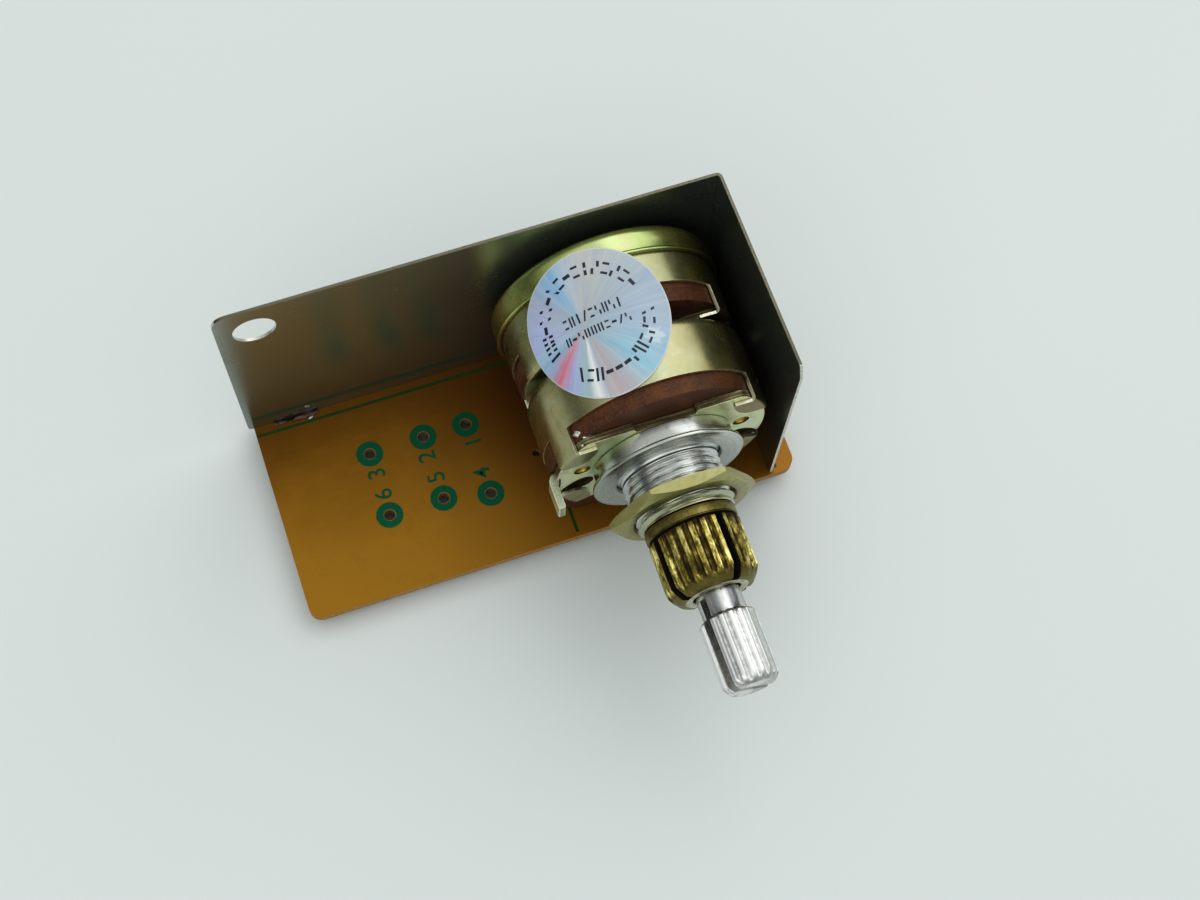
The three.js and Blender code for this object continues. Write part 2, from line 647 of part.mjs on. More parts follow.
// A thin round patch wrapped over the cover and the cans.
function foilSeal() {
  const { rings, spokes } = SEAL;
  const positions = [];
  const place = (around, along, offset) => {
    const y = SEAL.y + along;
    const angle = rad(SEAL.angle) + around / SEAL.wrapR;
    const ramp = THREE.MathUtils.smoothstep(-y, SEAL.rampRear, SEAL.rampFront);
    const radius = SEAL.coverR + (SEAL.canR - SEAL.coverR) * ramp + offset;
    positions.push(radius * Math.sin(angle), y, radius * Math.cos(angle));
  };
  for (const offset of [0, SEAL.thickness]) {
    place(0, 0, offset);
    for (let i = 1; i <= rings; i++) {
      for (let j = 0; j < spokes; j++) {
        const turned = (2 * Math.PI * j) / spokes;
        const reach = (SEAL.radius * i) / rings;
        place(reach * Math.cos(turned), reach * Math.sin(turned), offset);
      }
    }
  }
  const layerSize = 1 + rings * spokes;
  const indexAt = (layer, i, j) =>
    layer * layerSize + (i === 0 ? 0 : 1 + (i - 1) * spokes + (j % spokes));
  const triangles = [];
  const addQuad = ([first, second, third, fourth]) =>
    triangles.push(first, second, third, first, third, fourth);
  for (let j = 0; j < spokes; j++) {
    // quads at the centre have one empty triangle, which solid() drops
    for (let i = 0; i < rings; i++) {
      for (const layer of [0, 1]) {
        const quad = [indexAt(layer, i, j), indexAt(layer, i + 1, j),
          indexAt(layer, i + 1, j + 1), indexAt(layer, i, j + 1)];
        addQuad(layer ? quad.reverse() : quad);
      }
    }
    addQuad([indexAt(0, rings, j), indexAt(1, rings, j),
      indexAt(1, rings, j + 1), indexAt(0, rings, j + 1)]);
  }
  const patch = new THREE.BufferGeometry();
  patch.setAttribute('position', new THREE.BufferAttribute(new Float32Array(positions), 3));
  patch.setIndex(triangles);
  return solid(patch);
}

// ---------------------------------------------------------------- finishes

const FINISH = {
  shield: { color: 0x8f8a72, roughness: 0.35, metalness: 0.9 },
  board: { color: 0xa3611a, roughness: 0.55, metalness: 0 },
  solder: { color: 0xa7a9a8, roughness: 0.3, metalness: 0.9 },
  plate: { color: 0x9aa07a, roughness: 0.35, metalness: 0.9 },
  can: { color: 0xa8a166, roughness: 0.35, metalness: 0.9 },
  cover: { color: 0xa8a166, roughness: 0.3, metalness: 0.9 },
  wafer: { color: 0x4a2318, roughness: 0.6, metalness: 0 },
  carbon: { color: 0x1c1b1c, roughness: 0.6, metalness: 0 },
  silver: { color: 0xb9b9b2, roughness: 0.35, metalness: 1 },
  tin: { color: 0xb4b6b6, roughness: 0.4, metalness: 1 },
  foil: { color: 0xb9c4e0, roughness: 0.25, metalness: 0.6 },
  bushing: { color: 0xc6c8c4, roughness: 0.3, metalness: 1 },
  washer: { color: 0xc6c8c4, roughness: 0.35, metalness: 1 },
  shaft: { color: 0xc6c8c4, roughness: 0.25, metalness: 1 },
  nut: { color: 0xb9ae6a, roughness: 0.4, metalness: 0.9 },
  brass: { color: 0xa98b3a, roughness: 0.4, metalness: 1 },
  rotor: { color: 0xd8d2c0, roughness: 0.5, metalness: 0 },
  bronze: { color: 0xb0813f, roughness: 0.35, metalness: 1 },
  rivet: { color: 0x8e9090, roughness: 0.35, metalness: 1 },
  clip: { color: 0x8e9090, roughness: 0.4, metalness: 1 },
};

// ---------------------------------------------------------------- assembly

function addPart(group, name, body, finish) {
  const { vertProperties, triVerts } = body.getMesh();
  const geometry = new THREE.BufferGeometry();
  geometry.setAttribute(
    'position', new THREE.BufferAttribute(new Float32Array(vertProperties), 3));
  geometry.setIndex(new THREE.BufferAttribute(new Uint32Array(triVerts), 1));
  geometry.computeVertexNormals();
  const material = new THREE.MeshStandardMaterial({ ...finish, flatShading: true });
  const part = new THREE.Mesh(geometry, material);
  part.name = name;
  group.add(part);
}

const root = new THREE.Group();
const datum = new THREE.Group();
datum.position.set(-BOARD.right / 2, -(STATION.shaftEnd + BOARD.rear) / 2, TAB_DEPTH);
root.add(datum);

addPart(datum, 'shield_bracket', shieldBracket(), FINISH.shield);
addPart(datum, 'circuit_board', circuitBoard(), FINISH.board);
TERMINAL_SPOTS.forEach(([x, y], i) => {
  const gang = i < 3 ? 'front' : 'rear';
  addPart(datum, `${gang}_solder_${(i % 3) + 1}`, solderCone(x, y), FINISH.solder);
});
for (const tab of TABS) addPart(datum, `tab_solder_${tab.name}`, solderBead(tab), FINISH.solder);

const control = new THREE.Group();
control.position.set(SHAFT_X, 0, SHAFT_Z);
datum.add(control);

addPart(control, 'front_plate', frontPlate(), FINISH.plate);
addPart(control, 'bushing', bushing(), FINISH.bushing);
addPart(control, 'flat_washer', flatWasher(), FINISH.washer);
addPart(control, 'hex_nut', hexNut(), FINISH.nut);
addPart(control, 'front_can', frontCan(), FINISH.can);
addPart(control, 'front_wafer', frontWafer(), FINISH.wafer);
addPart(control, 'front_resistive_track', track(0), FINISH.carbon);
addPart(control, 'front_collector_ring', collector(0), FINISH.silver);
addPart(control, 'middle_plate', middlePlate(), FINISH.plate);
addPart(control, 'gang_rivet_left', gangRivet(RIVETS[0]), FINISH.rivet);
addPart(control, 'gang_rivet_right', gangRivet(RIVETS[1]), FINISH.rivet);
addPart(control, 'rear_can', rearCan(), FINISH.can);
addPart(control, 'rear_wafer', rearWafer(), FINISH.wafer);
addPart(control, 'rear_resistive_track', track(GANG_STEP), FINISH.carbon);
addPart(control, 'rear_collector_ring', collector(GANG_STEP), FINISH.silver);
addPart(control, 'rear_cover', rearCover(), FINISH.cover);
addPart(control, 'foil_seal', foilSeal(), FINISH.foil);
for (const side of TERMINAL_SIDES) {
  addPart(control, `front_terminal_${side + 2}`, terminal(side, 0), FINISH.tin);
  addPart(control, `rear_terminal_${side + 2}`, terminal(side, GANG_STEP), FINISH.tin);
}

const outerTurning = new THREE.Group();
addPart(outerTurning, 'outer_sleeve', outerSleeve(), FINISH.brass);
addPart(outerTurning, 'front_rotor', frontRotor(), FINISH.rotor);
addPart(outerTurning, 'front_wiper', wiper(0), FINISH.bronze);
addPart(outerTurning, 'sleeve_clip', snapRing(2.96, 4.3, -12.9, -12.4), FINISH.clip);
control.add(outerTurning);

const innerTurning = new THREE.Group();
addPart(innerTurning, 'inner_shaft', innerShaft(), FINISH.shaft);
addPart(innerTurning, 'rear_rotor', rearRotor(), FINISH.rotor);
addPart(innerTurning, 'rear_wiper', wiper(GANG_STEP), FINISH.bronze);
addPart(innerTurning, 'shaft_clip', snapRing(1.66, 2.9, -3.95, -3.55), FINISH.clip);
control.add(innerTurning);

export default root;
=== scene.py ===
"""Looks for a dual concentric rotary level control on a small phenolic board with an L-shaped shield.

The board lies flat. The long wall of the shield stands along its back edge (+Y), the side wall along its
right edge (+X), and the shafts of the control point forwards (-Y). Lengths are millimetres from a working
datum: the free (left) end of the long wall, its inner face, the top of the board. Pieces of the control
take x and z from the shaft axis instead. Both are shifted onto the frame with the boxes of the CAD nodes.
"""
import json
import math
import random

import bmesh
import bpy
from mathutils import Matrix, Vector
from mathutils.geometry import tessellate_polygon


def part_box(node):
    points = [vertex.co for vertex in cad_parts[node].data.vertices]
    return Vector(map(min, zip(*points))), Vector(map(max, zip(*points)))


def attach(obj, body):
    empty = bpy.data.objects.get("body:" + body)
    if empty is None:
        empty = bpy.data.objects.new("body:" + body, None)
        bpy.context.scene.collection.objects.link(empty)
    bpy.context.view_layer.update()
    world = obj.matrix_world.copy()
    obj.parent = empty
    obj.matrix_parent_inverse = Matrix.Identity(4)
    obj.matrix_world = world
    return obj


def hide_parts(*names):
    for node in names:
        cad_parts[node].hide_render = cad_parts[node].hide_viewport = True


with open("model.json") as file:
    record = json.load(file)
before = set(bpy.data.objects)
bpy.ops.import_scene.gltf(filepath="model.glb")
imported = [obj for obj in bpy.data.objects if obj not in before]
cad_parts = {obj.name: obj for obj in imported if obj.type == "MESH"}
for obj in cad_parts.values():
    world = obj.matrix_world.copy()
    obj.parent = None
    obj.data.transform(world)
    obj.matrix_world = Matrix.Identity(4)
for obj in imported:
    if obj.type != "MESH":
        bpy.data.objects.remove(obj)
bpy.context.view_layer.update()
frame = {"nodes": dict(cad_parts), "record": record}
random.seed(7)

MM = 0.001
TURN = 2 * math.pi
SHEET = 0.4                       # CAD thickness of the shield
shield_lo, shield_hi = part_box("shield_bracket")
board_lo, board_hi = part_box("circuit_board")
bushing_lo, bushing_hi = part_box("bushing")

DATUM = Vector((shield_lo.x / MM, shield_hi.y / MM - SHEET, board_hi.z / MM))
WALL_Y = DATUM.y                  # inner face of the long wall in the frame
AXIS_X = (bushing_lo.x + bushing_hi.x) / 2 / MM - DATUM.x
AXIS_Z = (bushing_lo.z + bushing_hi.z) / 2 / MM - DATUM.z
AXIS = Vector(((AXIS_X + DATUM.x) * MM, 0.0, (AXIS_Z + DATUM.z) * MM))     # metres, in the frame
WALL_H = shield_hi.z / MM - DATUM.z
WALL_L = shield_hi.x / MM - DATUM.x - SHEET
SIDE_L = WALL_Y - shield_lo.y / MM
BOARD_X0, BOARD_X1 = board_lo.x / MM - DATUM.x, board_hi.x / MM - DATUM.x
BOARD_Y0, BOARD_Y1 = board_lo.y / MM - WALL_Y, board_hi.y / MM - WALL_Y
BOARD_T = (board_hi.z - board_lo.z) / MM

CHASSIS, OUTER, INNER = "chassis", "outer_rotor", "inner_rotor"


# ------------------------------------------------------------------ node trees

def rgba(value):
    return (*value, 1) if isinstance(value, tuple) and len(value) == 3 else value


def darker(colour, factor):
    return tuple(part * factor for part in colour)


def operation(kind):
    return lambda self, other=0.0: self.tree.math(kind, self, other)


class Signal:
    """An output in a node tree. Arithmetic and methods on it add nodes that read it."""

    def __init__(self, tree, socket):
        self.tree = tree
        self.socket = socket

    __add__ = operation("ADD")
    __sub__ = operation("SUBTRACT")
    __mul__ = operation("MULTIPLY")
    __truediv__ = operation("DIVIDE")
    __gt__ = operation("GREATER_THAN")
    __lt__ = operation("LESS_THAN")
    __abs__ = operation("ABSOLUTE")
    fraction = operation("FRACT")
    maximum = operation("MAXIMUM")
    arctan2 = operation("ARCTAN2")

    def __rsub__(self, other):
        return self.tree.math("SUBTRACT", other, self)

    def clamped(self):
        """Hold the result of the last Math node to 0..1."""
        self.socket.node.use_clamp = True
        return self

    def vector(self, kind, other=(0, 0, 0)):
        node = self.tree.node("ShaderNodeVectorMath", (self, other), operation=kind)
        return Signal(self.tree, node.outputs["Value" if kind in ("LENGTH", "DOT_PRODUCT") else "Vector"])

    def stretch(self, x, y, z):
        return self.vector("MULTIPLY", (x, y, z))

    def split(self):
        node = self.tree.node("ShaderNodeSeparateXYZ", (self,))
        return [Signal(self.tree, socket) for socket in node.outputs]

    def noise(self, scale, detail=3.0, rough=0.55, warp=0.0):
        node = self.tree.node("ShaderNodeTexNoise")
        for key, value in (("Vector", self), ("Scale", scale), ("Detail", detail),
                           ("Roughness", rough), ("Distortion", warp)):
            self.tree.feed(node.inputs[key], value)
        return Signal(self.tree, node.outputs["Fac"])

    def cells(self, scale):
        """Distance to the nearest Voronoi point."""
        node = self.tree.node("ShaderNodeTexVoronoi", feature="F1")
        self.tree.feed(node.inputs["Vector"], self)
        node.inputs["Scale"].default_value = scale
        return Signal(self.tree, node.outputs["Distance"])

    def ramp(self, *stops):
        """Colour ramp through (position, grey or colour) stops."""
        node = self.tree.node("ShaderNodeValToRGB", (self,))
        elements = node.color_ramp.elements
        while len(elements) < len(stops):
            elements.new(0.5)
        for element, (position, value) in zip(elements, stops):
            element.position = position
            element.color = rgba(value if isinstance(value, tuple) else (value,) * 3)
        return Signal(self.tree, node.outputs[0])

    def rise(self, start, end, high=1.0, low=0.0):
        return self.ramp((start, low), (end, high))

    def remap(self, start, end, to=(0.0, 1.0)):
        node = self.tree.node("ShaderNodeMapRange", (self, start, end, *to))
        return Signal(self.tree, node.outputs[0])

    def toward(self, colour, amount):
        return self.tree.mix(amount, self, colour)

    def bump(self, strength, depth):
        """Normal from this height; depth in mm."""
        node = self.tree.node("ShaderNodeBump")
        node.inputs["Strength"].default_value = strength
        node.inputs["Distance"].default_value = depth * MM
        self.tree.feed(node.inputs["Height"], self)
        return Signal(self.tree, node.outputs[0])


class Tree:
    """Builds the nodes of a material or world."""

    def __init__(self, owner):
        owner.use_nodes = True
        self.nodes = owner.node_tree.nodes
        self.links = owner.node_tree.links
        self.nodes.clear()

    def feed(self, socket, value):
        if isinstance(value, Signal):
            self.links.new(value.socket, socket)
        else:
            socket.default_value = value

    def node(self, kind, values=(), **props):
        node = self.nodes.new(kind)
        for key, value in props.items():
            setattr(node, key, value)
        for socket, value in zip(node.inputs, values):
            self.feed(socket, value)
        return node

    def source(self, kind, output):
        return Signal(self, self.node(kind).outputs[output])

    def math(self, kind, first, second):
        node = self.node("ShaderNodeMath", (first, second, 0.0), operation=kind)
        return Signal(self, node.outputs[0])

    def join(self, x, y, z):
        return Signal(self, self.node("ShaderNodeCombineXYZ", (x, y, z)).outputs[0])

    def mix(self, amount, first, second, blend="MIX"):
        node = self.node("ShaderNodeMix", data_type="RGBA", blend_type=blend)
        for index, value in ((0, amount), (6, first), (7, second)):
            self.feed(node.inputs[index], rgba(value))
        return Signal(self, node.outputs[2])


class Paint(Tree):
    """A material round one Principled shader."""
    INPUTS = {"color": "Base Color", "metal": "Metallic", "rough": "Roughness", "normal": "Normal",
              "coat": "Coat Weight", "coat_rough": "Coat Roughness", "spec": "Specular IOR Level",
              "tint": "Specular Tint"}

    def __init__(self, name):
        self.material = bpy.data.materials.new(name)
        super().__init__(self.material)
        out = self.node("ShaderNodeOutputMaterial")
        self.shader = self.node("ShaderNodeBsdfPrincipled")
        self.links.new(self.shader.outputs[0], out.inputs[0])

    def coords(self):
        """Object coordinates in mm, in the frame."""
        node = self.node("ShaderNodeVectorMath", (self.source("ShaderNodeTexCoord", "Object"),),
                         operation="SCALE")
        node.inputs["Scale"].default_value = 1000.0
        return Signal(self, node.outputs[0])

    def polar(self):
        """Radius from the shaft axis in mm, angle from the top towards +X in radians, and Y in mm."""
        x, y, z = self.coords().vector("SUBTRACT", tuple(AXIS * 1000)).split()
        return self.join(x, 0.0, z).vector("LENGTH"), x.arctan2(z), y

    def finish(self, **values):
        for key, value in values.items():
            self.feed(self.shader.inputs[self.INPUTS[key]], rgba(value))
        return self.material


def as_turn(angle):
    """Radians -pi..pi to 0..1."""
    return angle / TURN + 0.5


# ------------------------------------------------------------------ materials

def mottled(name, first, second, scale, detail=4, grain=0.62, stretch=None, spots=None,
            rough=(0.3, 0.5), bump=0.2, depth=0.03, **rest):
    """Two colours mixed by one noise, which also drives the roughness range and the bump.

    spots: range of the noise over which the first colour turns into the second.
    """
    mat = Paint(name)
    pos = mat.coords()
    if stretch:
        pos = pos.stretch(*stretch)
    noise = pos.noise(scale, detail, grain)
    rest["color"] = mat.mix(noise.rise(*spots) if spots else noise, first, second)
    rest["rough"] = noise.remap(0.3, 0.7, to=rough) if isinstance(rough, tuple) else rough
    if bump:
        rest["normal"] = noise.bump(bump, depth)
    return mat.finish(**rest)


def cut_edge(name, colour):
    return mottled(name, colour, darker(colour, 0.62), scale=2.0, grain=0.7, stretch=(2.5, 2.5, 2.5),
                   spots=(0.35, 0.7), metal=1.0, rough=(0.24, 0.5), bump=0.35)


def shield_material():
    mat = Paint("shield_plate")
    pos = mat.coords()
    big = pos.noise(0.07, rough=0.6, warp=0.6)
    rolling = pos.stretch(0.04, 0.04, 1.4).noise(3.0)
    smudge = pos.noise(0.22, warp=0.4)
    fine = pos.noise(7.0, detail=2)
    color = mat.mix(big.rise(0.3, 0.72), (0.425, 0.480, 0.430), (0.355, 0.400, 0.360))
    color = color.toward((0.29, 0.285, 0.235), smudge.rise(0.48, 0.7) * 0.22)
    color = color.toward((0.45, 0.46, 0.41), rolling * 0.12)
    x, y, z = pos.split()
    rough = smudge.remap(0.3, 0.75, to=(0.0, 0.035)) + rolling * 0.02
    # rougher with height
    rough = rough + z.remap(DATUM.z + 0.8, DATUM.z + 7.5, to=(0.045, 0.235))
    return mat.finish(color=color, metal=0.9, rough=rough,
                      normal=(rolling * 0.3 + fine * 0.2).bump(strength=0.03, depth=0.004))


def board_material():
    mat = Paint("phenolic_board")
    pos = mat.coords()
    fibre = pos.stretch(0.35, 1.4, 1.0).noise(1.6, detail=4, warp=0.5)
    cloud = pos.noise(0.10, warp=0.5)
    fine = pos.noise(7.0)
    color = mat.mix(cloud.rise(0.3, 0.7), (0.232, 0.109, 0.0120), (0.188, 0.081, 0.0090))
    color = color.toward((0.310, 0.160, 0.022), fibre.rise(0.35, 0.75) * 0.22)
    x, y, z = pos.split()
    # painted light and shadow: paler towards the front edge, browner under the wall, where its shadow falls
    pale = (y + (cloud - 0.5) * 6.0).remap(WALL_Y - 4.0, WALL_Y - 16.0)
    color = color.toward((0.405, 0.207, 0.024), pale * 0.75)
    # the top reddens and darkens towards the control: flux stain, and painted shade under the control
    flux_stain_and_shade = (x.remap((AXIS_X - 24.0) + DATUM.x, (AXIS_X - 9.0) + DATUM.x)
              * y.remap(WALL_Y - 23.0, WALL_Y - 6.0, to=(0.35, 1.0)))
    color = color.toward((0.082, 0.028, 0.0075), flux_stain_and_shade * 0.88)
    # painted shadow along the foot of the wall
    color = color.toward((0.085, 0.036, 0.0085), y.remap(WALL_Y - 5.0, WALL_Y - 0.5, to=(0.0, 0.45)))
    # the strip outside the side wall is paler
    outside = x.remap(DATUM.x + WALL_L + 0.2, DATUM.x + WALL_L + 0.7, to=(0.0, 0.55))
    color = color.toward((0.56, 0.26, 0.062), outside)
    blotch = pos.noise(0.55, detail=4, rough=0.65, warp=0.6).rise(0.56, 0.70)
    color = color.toward((0.20, 0.060, 0.008), blotch * 0.14)
    speck = pos.cells(1.3).rise(0.03, 0.06, high=0.0, low=1.0)
    color = color.toward((0.10, 0.04, 0.01), speck * 0.2)
    return mat.finish(color=color, rough=fine.remap(0.3, 0.7, to=(0.28, 0.38)), spec=0.35,
                      tint=(1.0, 0.62, 0.22),
                      normal=(fibre * 0.7 + fine * 0.3).bump(strength=0.05, depth=0.015))


def board_edge_material():
    mat = Paint("phenolic_edge")
    pos = mat.coords()
    layers = pos.stretch(0.8, 0.8, 14.0).noise(1.6, rough=0.6)
    chips = pos.noise(3.0, detail=4, rough=0.7)
    color = mat.mix(layers.rise(0.35, 0.65), (0.30, 0.13, 0.02), (0.46, 0.27, 0.09))
    color = color.toward((0.62, 0.45, 0.22), chips.rise(0.5, 0.68) * 0.5)
    return mat.finish(color=color, rough=0.7, normal=chips.bump(strength=0.5, depth=0.05))


def silk_material():
    mat = Paint("green_silk")
    pos = mat.coords()
    color = mat.mix(pos.noise(3.5, rough=0.6), (0.004, 0.088, 0.042), (0.012, 0.125, 0.062))
    worn = pos.noise(6.0, rough=0.7).rise(0.64, 0.72, high=0.5)
    color = color.toward((0.10, 0.10, 0.02), worn)
    return mat.finish(color=color, rough=0.5, spec=0.25, tint=(0.3, 1.0, 0.6),
                      normal=pos.noise(10, detail=2).bump(strength=0.12, depth=0.01))


# painted highlight and shade round the drum, against turn: 0.5 is the top, 0.75 the right
DRUM_PAINTED_SHADING = (
    (0.0, (0.60, 0.57, 0.48)), (0.24, (0.66, 0.63, 0.52)), (0.33, (0.74, 0.72, 0.62)),
    (0.41, (0.84, 0.84, 0.76)), (0.465, (1.0, 1.0, 1.0)), (0.505, (1.0, 1.0, 1.0)),
    (0.55, (0.80, 0.79, 0.70)), (0.60, (0.66, 0.62, 0.48)), (0.645, (0.46, 0.41, 0.28)),
    (0.70, (0.42, 0.37, 0.26)), (1.0, (0.60, 0.57, 0.48)))


def chromate(name, gold, green, silver, rough, tint=0.5, scratched=False, painted_shading=False):
    """Yellow zinc chromate on steel: satin, drifting between gold, green and pinkish."""
    mat = Paint(name)
    pos = mat.coords()
    radius, angle, y = mat.polar()
    wrapped = mat.join(angle * 11.0, y, radius)
    drift = wrapped.stretch(0.10, 0.20, 0.12).noise(1.0, rough=0.5, warp=1.2)
    drift2 = wrapped.stretch(0.22, 0.35, 0.25).noise(1.0, rough=0.5, warp=2.0)
    drawing = wrapped.stretch(4.0, 0.35, 1.0).noise(1.0)
    fine = pos.noise(6.0, rough=0.6)
    color = mat.mix(drift.rise(0.36, 0.62), gold, green)
    color = color.toward(silver, drift2.rise(0.50, 0.72, high=tint))
    facing = mat.node("ShaderNodeLayerWeight", (0.35,)).outputs["Facing"]
    film = Signal(mat, facing).ramp((0.0, (0.92, 1.0, 0.90)), (0.35, (1.0, 1.0, 1.0)),
                                    (0.62, (1.0, 0.93, 0.90)), (0.9, (0.88, 0.95, 0.86)))
    color = mat.mix(0.45, color, film, "MULTIPLY")
    spots = pos.noise(1.3, rough=0.6).rise(0.60, 0.82)
    color = color.toward(darker(gold, 0.55), spots * 0.22)
    # stains, stronger down the flanks
    stain = (pos.noise(0.30, detail=4, rough=0.65, warp=0.8).rise(0.46, 0.66)
             * abs(angle + 0.1).remap(0.35, 1.0, to=(0.15, 0.62)))
    stained = tuple(part * factor for part, factor in zip(gold, (0.52, 0.47, 0.38)))
    color = color.toward(stained, stain)
    roughness = pos.noise(0.4).remap(0.3, 0.7, to=rough) + drawing * 0.04
    if scratched:
        # a few short scratches along the can, on its upper right side
        lines = (angle * 22.0).fraction().ramp((0.0, 0.0), (0.42, 0.0), (0.5, 1.0), (0.58, 0.0), (1.0, 0.0))
        where = (((angle > 0.66) * (angle < 0.88))
                 * ((y > WALL_Y - 14.6) * (y < WALL_Y - 12.6)))
        marks = lines * where * pos.noise(2.2, detail=2).rise(0.40, 0.52)
        color = color.toward((0.86, 0.86, 0.70), marks * 0.8)
        roughness = roughness + marks * 0.2
    if painted_shading:
        # painted highlight along the top of the drum, and painted shade, browner, down both flanks
        wander = (pos.noise(0.35) - 0.5) * 0.05
        color = mat.mix(1.0, color, (as_turn(angle) + wander).ramp(*DRUM_PAINTED_SHADING), "MULTIPLY")
    return mat.finish(color=color, metal=0.88, rough=roughness,
                      normal=(drawing * 0.5 + fine * 0.3).bump(strength=0.06, depth=0.010))


def sheared_material():
    """Sheared face of a thick plate: dull, dark and fine-grained."""
    mat = Paint("sheared_face")
    pos = mat.coords()
    grain = pos.stretch(3.0, 0.6, 3.0).noise(2.2, detail=4, rough=0.65)
    patch = pos.noise(0.5, rough=0.6)
    color = mat.mix(patch.rise(0.4, 0.62), (0.115, 0.100, 0.045), (0.120, 0.075, 0.045))
    lines = pos.stretch(0.15, 5.0, 0.15).noise(1.6, rough=0.6)
    color = color.toward((0.56, 0.53, 0.28), lines.rise(0.5, 0.68, high=0.7))
    color = color.toward((0.46, 0.43, 0.22), grain.rise(0.55, 0.75, high=0.6))
    return mat.finish(color=color, metal=0.6, rough=0.42, normal=grain.bump(strength=0.4, depth=0.03))


def wafer_material():
    mat = Paint("phenolic_wafer")
    pos = mat.coords()
    cloud = pos.noise(0.22, rough=0.6, warp=1.0)
    grain = pos.noise(3.8, detail=4, rough=0.65)
    speck = pos.cells(2.6).rise(0.05, 0.12, high=0.0, low=1.0)
    color = mat.mix(cloud.rise(0.36, 0.62), (0.125, 0.046, 0.020), (0.062, 0.028, 0.022))
    color = color.toward((0.190, 0.088, 0.034), grain.rise(0.4, 0.75, high=0.7))
    color = color.toward((0.20, 0.085, 0.035), speck * 0.5)
    return mat.finish(color=color, rough=grain.remap(0.3, 0.7, to=(0.38, 0.55)), spec=0.3,
                      tint=(1.0, 0.75, 0.6), normal=grain.bump(strength=0.3, depth=0.03))


# painted highlight and shade on turned aluminium round the axis, against turn
ALUMINIUM_PAINTED_SHEEN = (
    (0.0, (0.66, 0.67, 0.66)), (0.20, (0.60, 0.62, 0.58)), (0.34, (0.58, 0.60, 0.55)),
    (0.43, (0.68, 0.70, 0.66)), (0.50, (0.64, 0.66, 0.62)), (0.56, (0.82, 0.83, 0.81)),
    (0.60, (1.0, 1.0, 0.99)), (0.65, (0.80, 0.81, 0.79)), (0.76, (0.58, 0.60, 0.58)),
    (1.0, (0.62, 0.63, 0.62)))


def aluminium(name, base, rings, rough, bump, dirt):
    """Turned aluminium: fine tool rings about the axis, a little grime."""
    mat = Paint(name)
    pos = mat.coords()
    radius, angle, y = mat.polar()
    ring = mat.join(0.0, y, radius * 1.0).noise(rings, rough=0.6)
    fine = pos.noise(12.0, detail=2)
    grime = pos.noise(1.1, detail=4, rough=0.68)
    color = mat.mix(ring.rise(0.3, 0.7), base, darker(base, 0.86))
    color = color.toward((0.22, 0.20, 0.16), grime.rise(0.56, 0.72) * dirt)
    # painted highlight and shade round the axis: full on the flange and washer, weaker on the thread
    shaded = mat.mix(1.0, color, as_turn(angle).ramp(*ALUMINIUM_PAINTED_SHEEN), "MULTIPLY")
    color = color.toward(shaded, radius.remap(4.9, 5.3, to=(0.30, 1.0)))
    front_end = y.remap(WALL_Y - 26.7, WALL_Y - 27.1, to=(0.0, 0.8))
    color = color.toward((0.42, 0.42, 0.25), front_end)
    return mat.finish(color=color, metal=1.0, rough=ring.remap(0.3, 0.7, to=rough),
                      normal=(ring * 0.8 + fine * 0.2).bump(bump, depth=0.02))


def nut_material():
    mat = Paint("nut_plating")
    pos = mat.coords()
    cloud = pos.noise(0.35, rough=0.6, warp=0.8)
    scuff = pos.stretch(1.0, 7.0, 1.0).noise(1.3, detail=4, rough=0.7)
    color = mat.mix(cloud.rise(0.35, 0.68), (0.375, 0.355, 0.145), (0.43, 0.415, 0.205))
    color = color.toward((0.25, 0.22, 0.09), scuff.rise(0.50, 0.75, high=0.65))
    radius, angle, y = mat.polar()
    # painted shade and grime in the angle round the bushing, pinkish on the right-hand side
    grime = radius.remap(5.9, 5.2, to=(0.0, 0.7)) * (y < WALL_Y - 26.6)
    color = color.toward((0.13, 0.10, 0.05), grime)
    pink = angle.remap(0.9, 1.7, to=(0.0, 0.55)) * (angle > 0.0)
    color = color.toward((0.42, 0.36, 0.27), pink)
    return mat.finish(color=color, metal=1.0, rough=scuff.remap(0.3, 0.7, to=(0.30, 0.50)),
                      normal=scuff.bump(strength=0.45, depth=0.04))


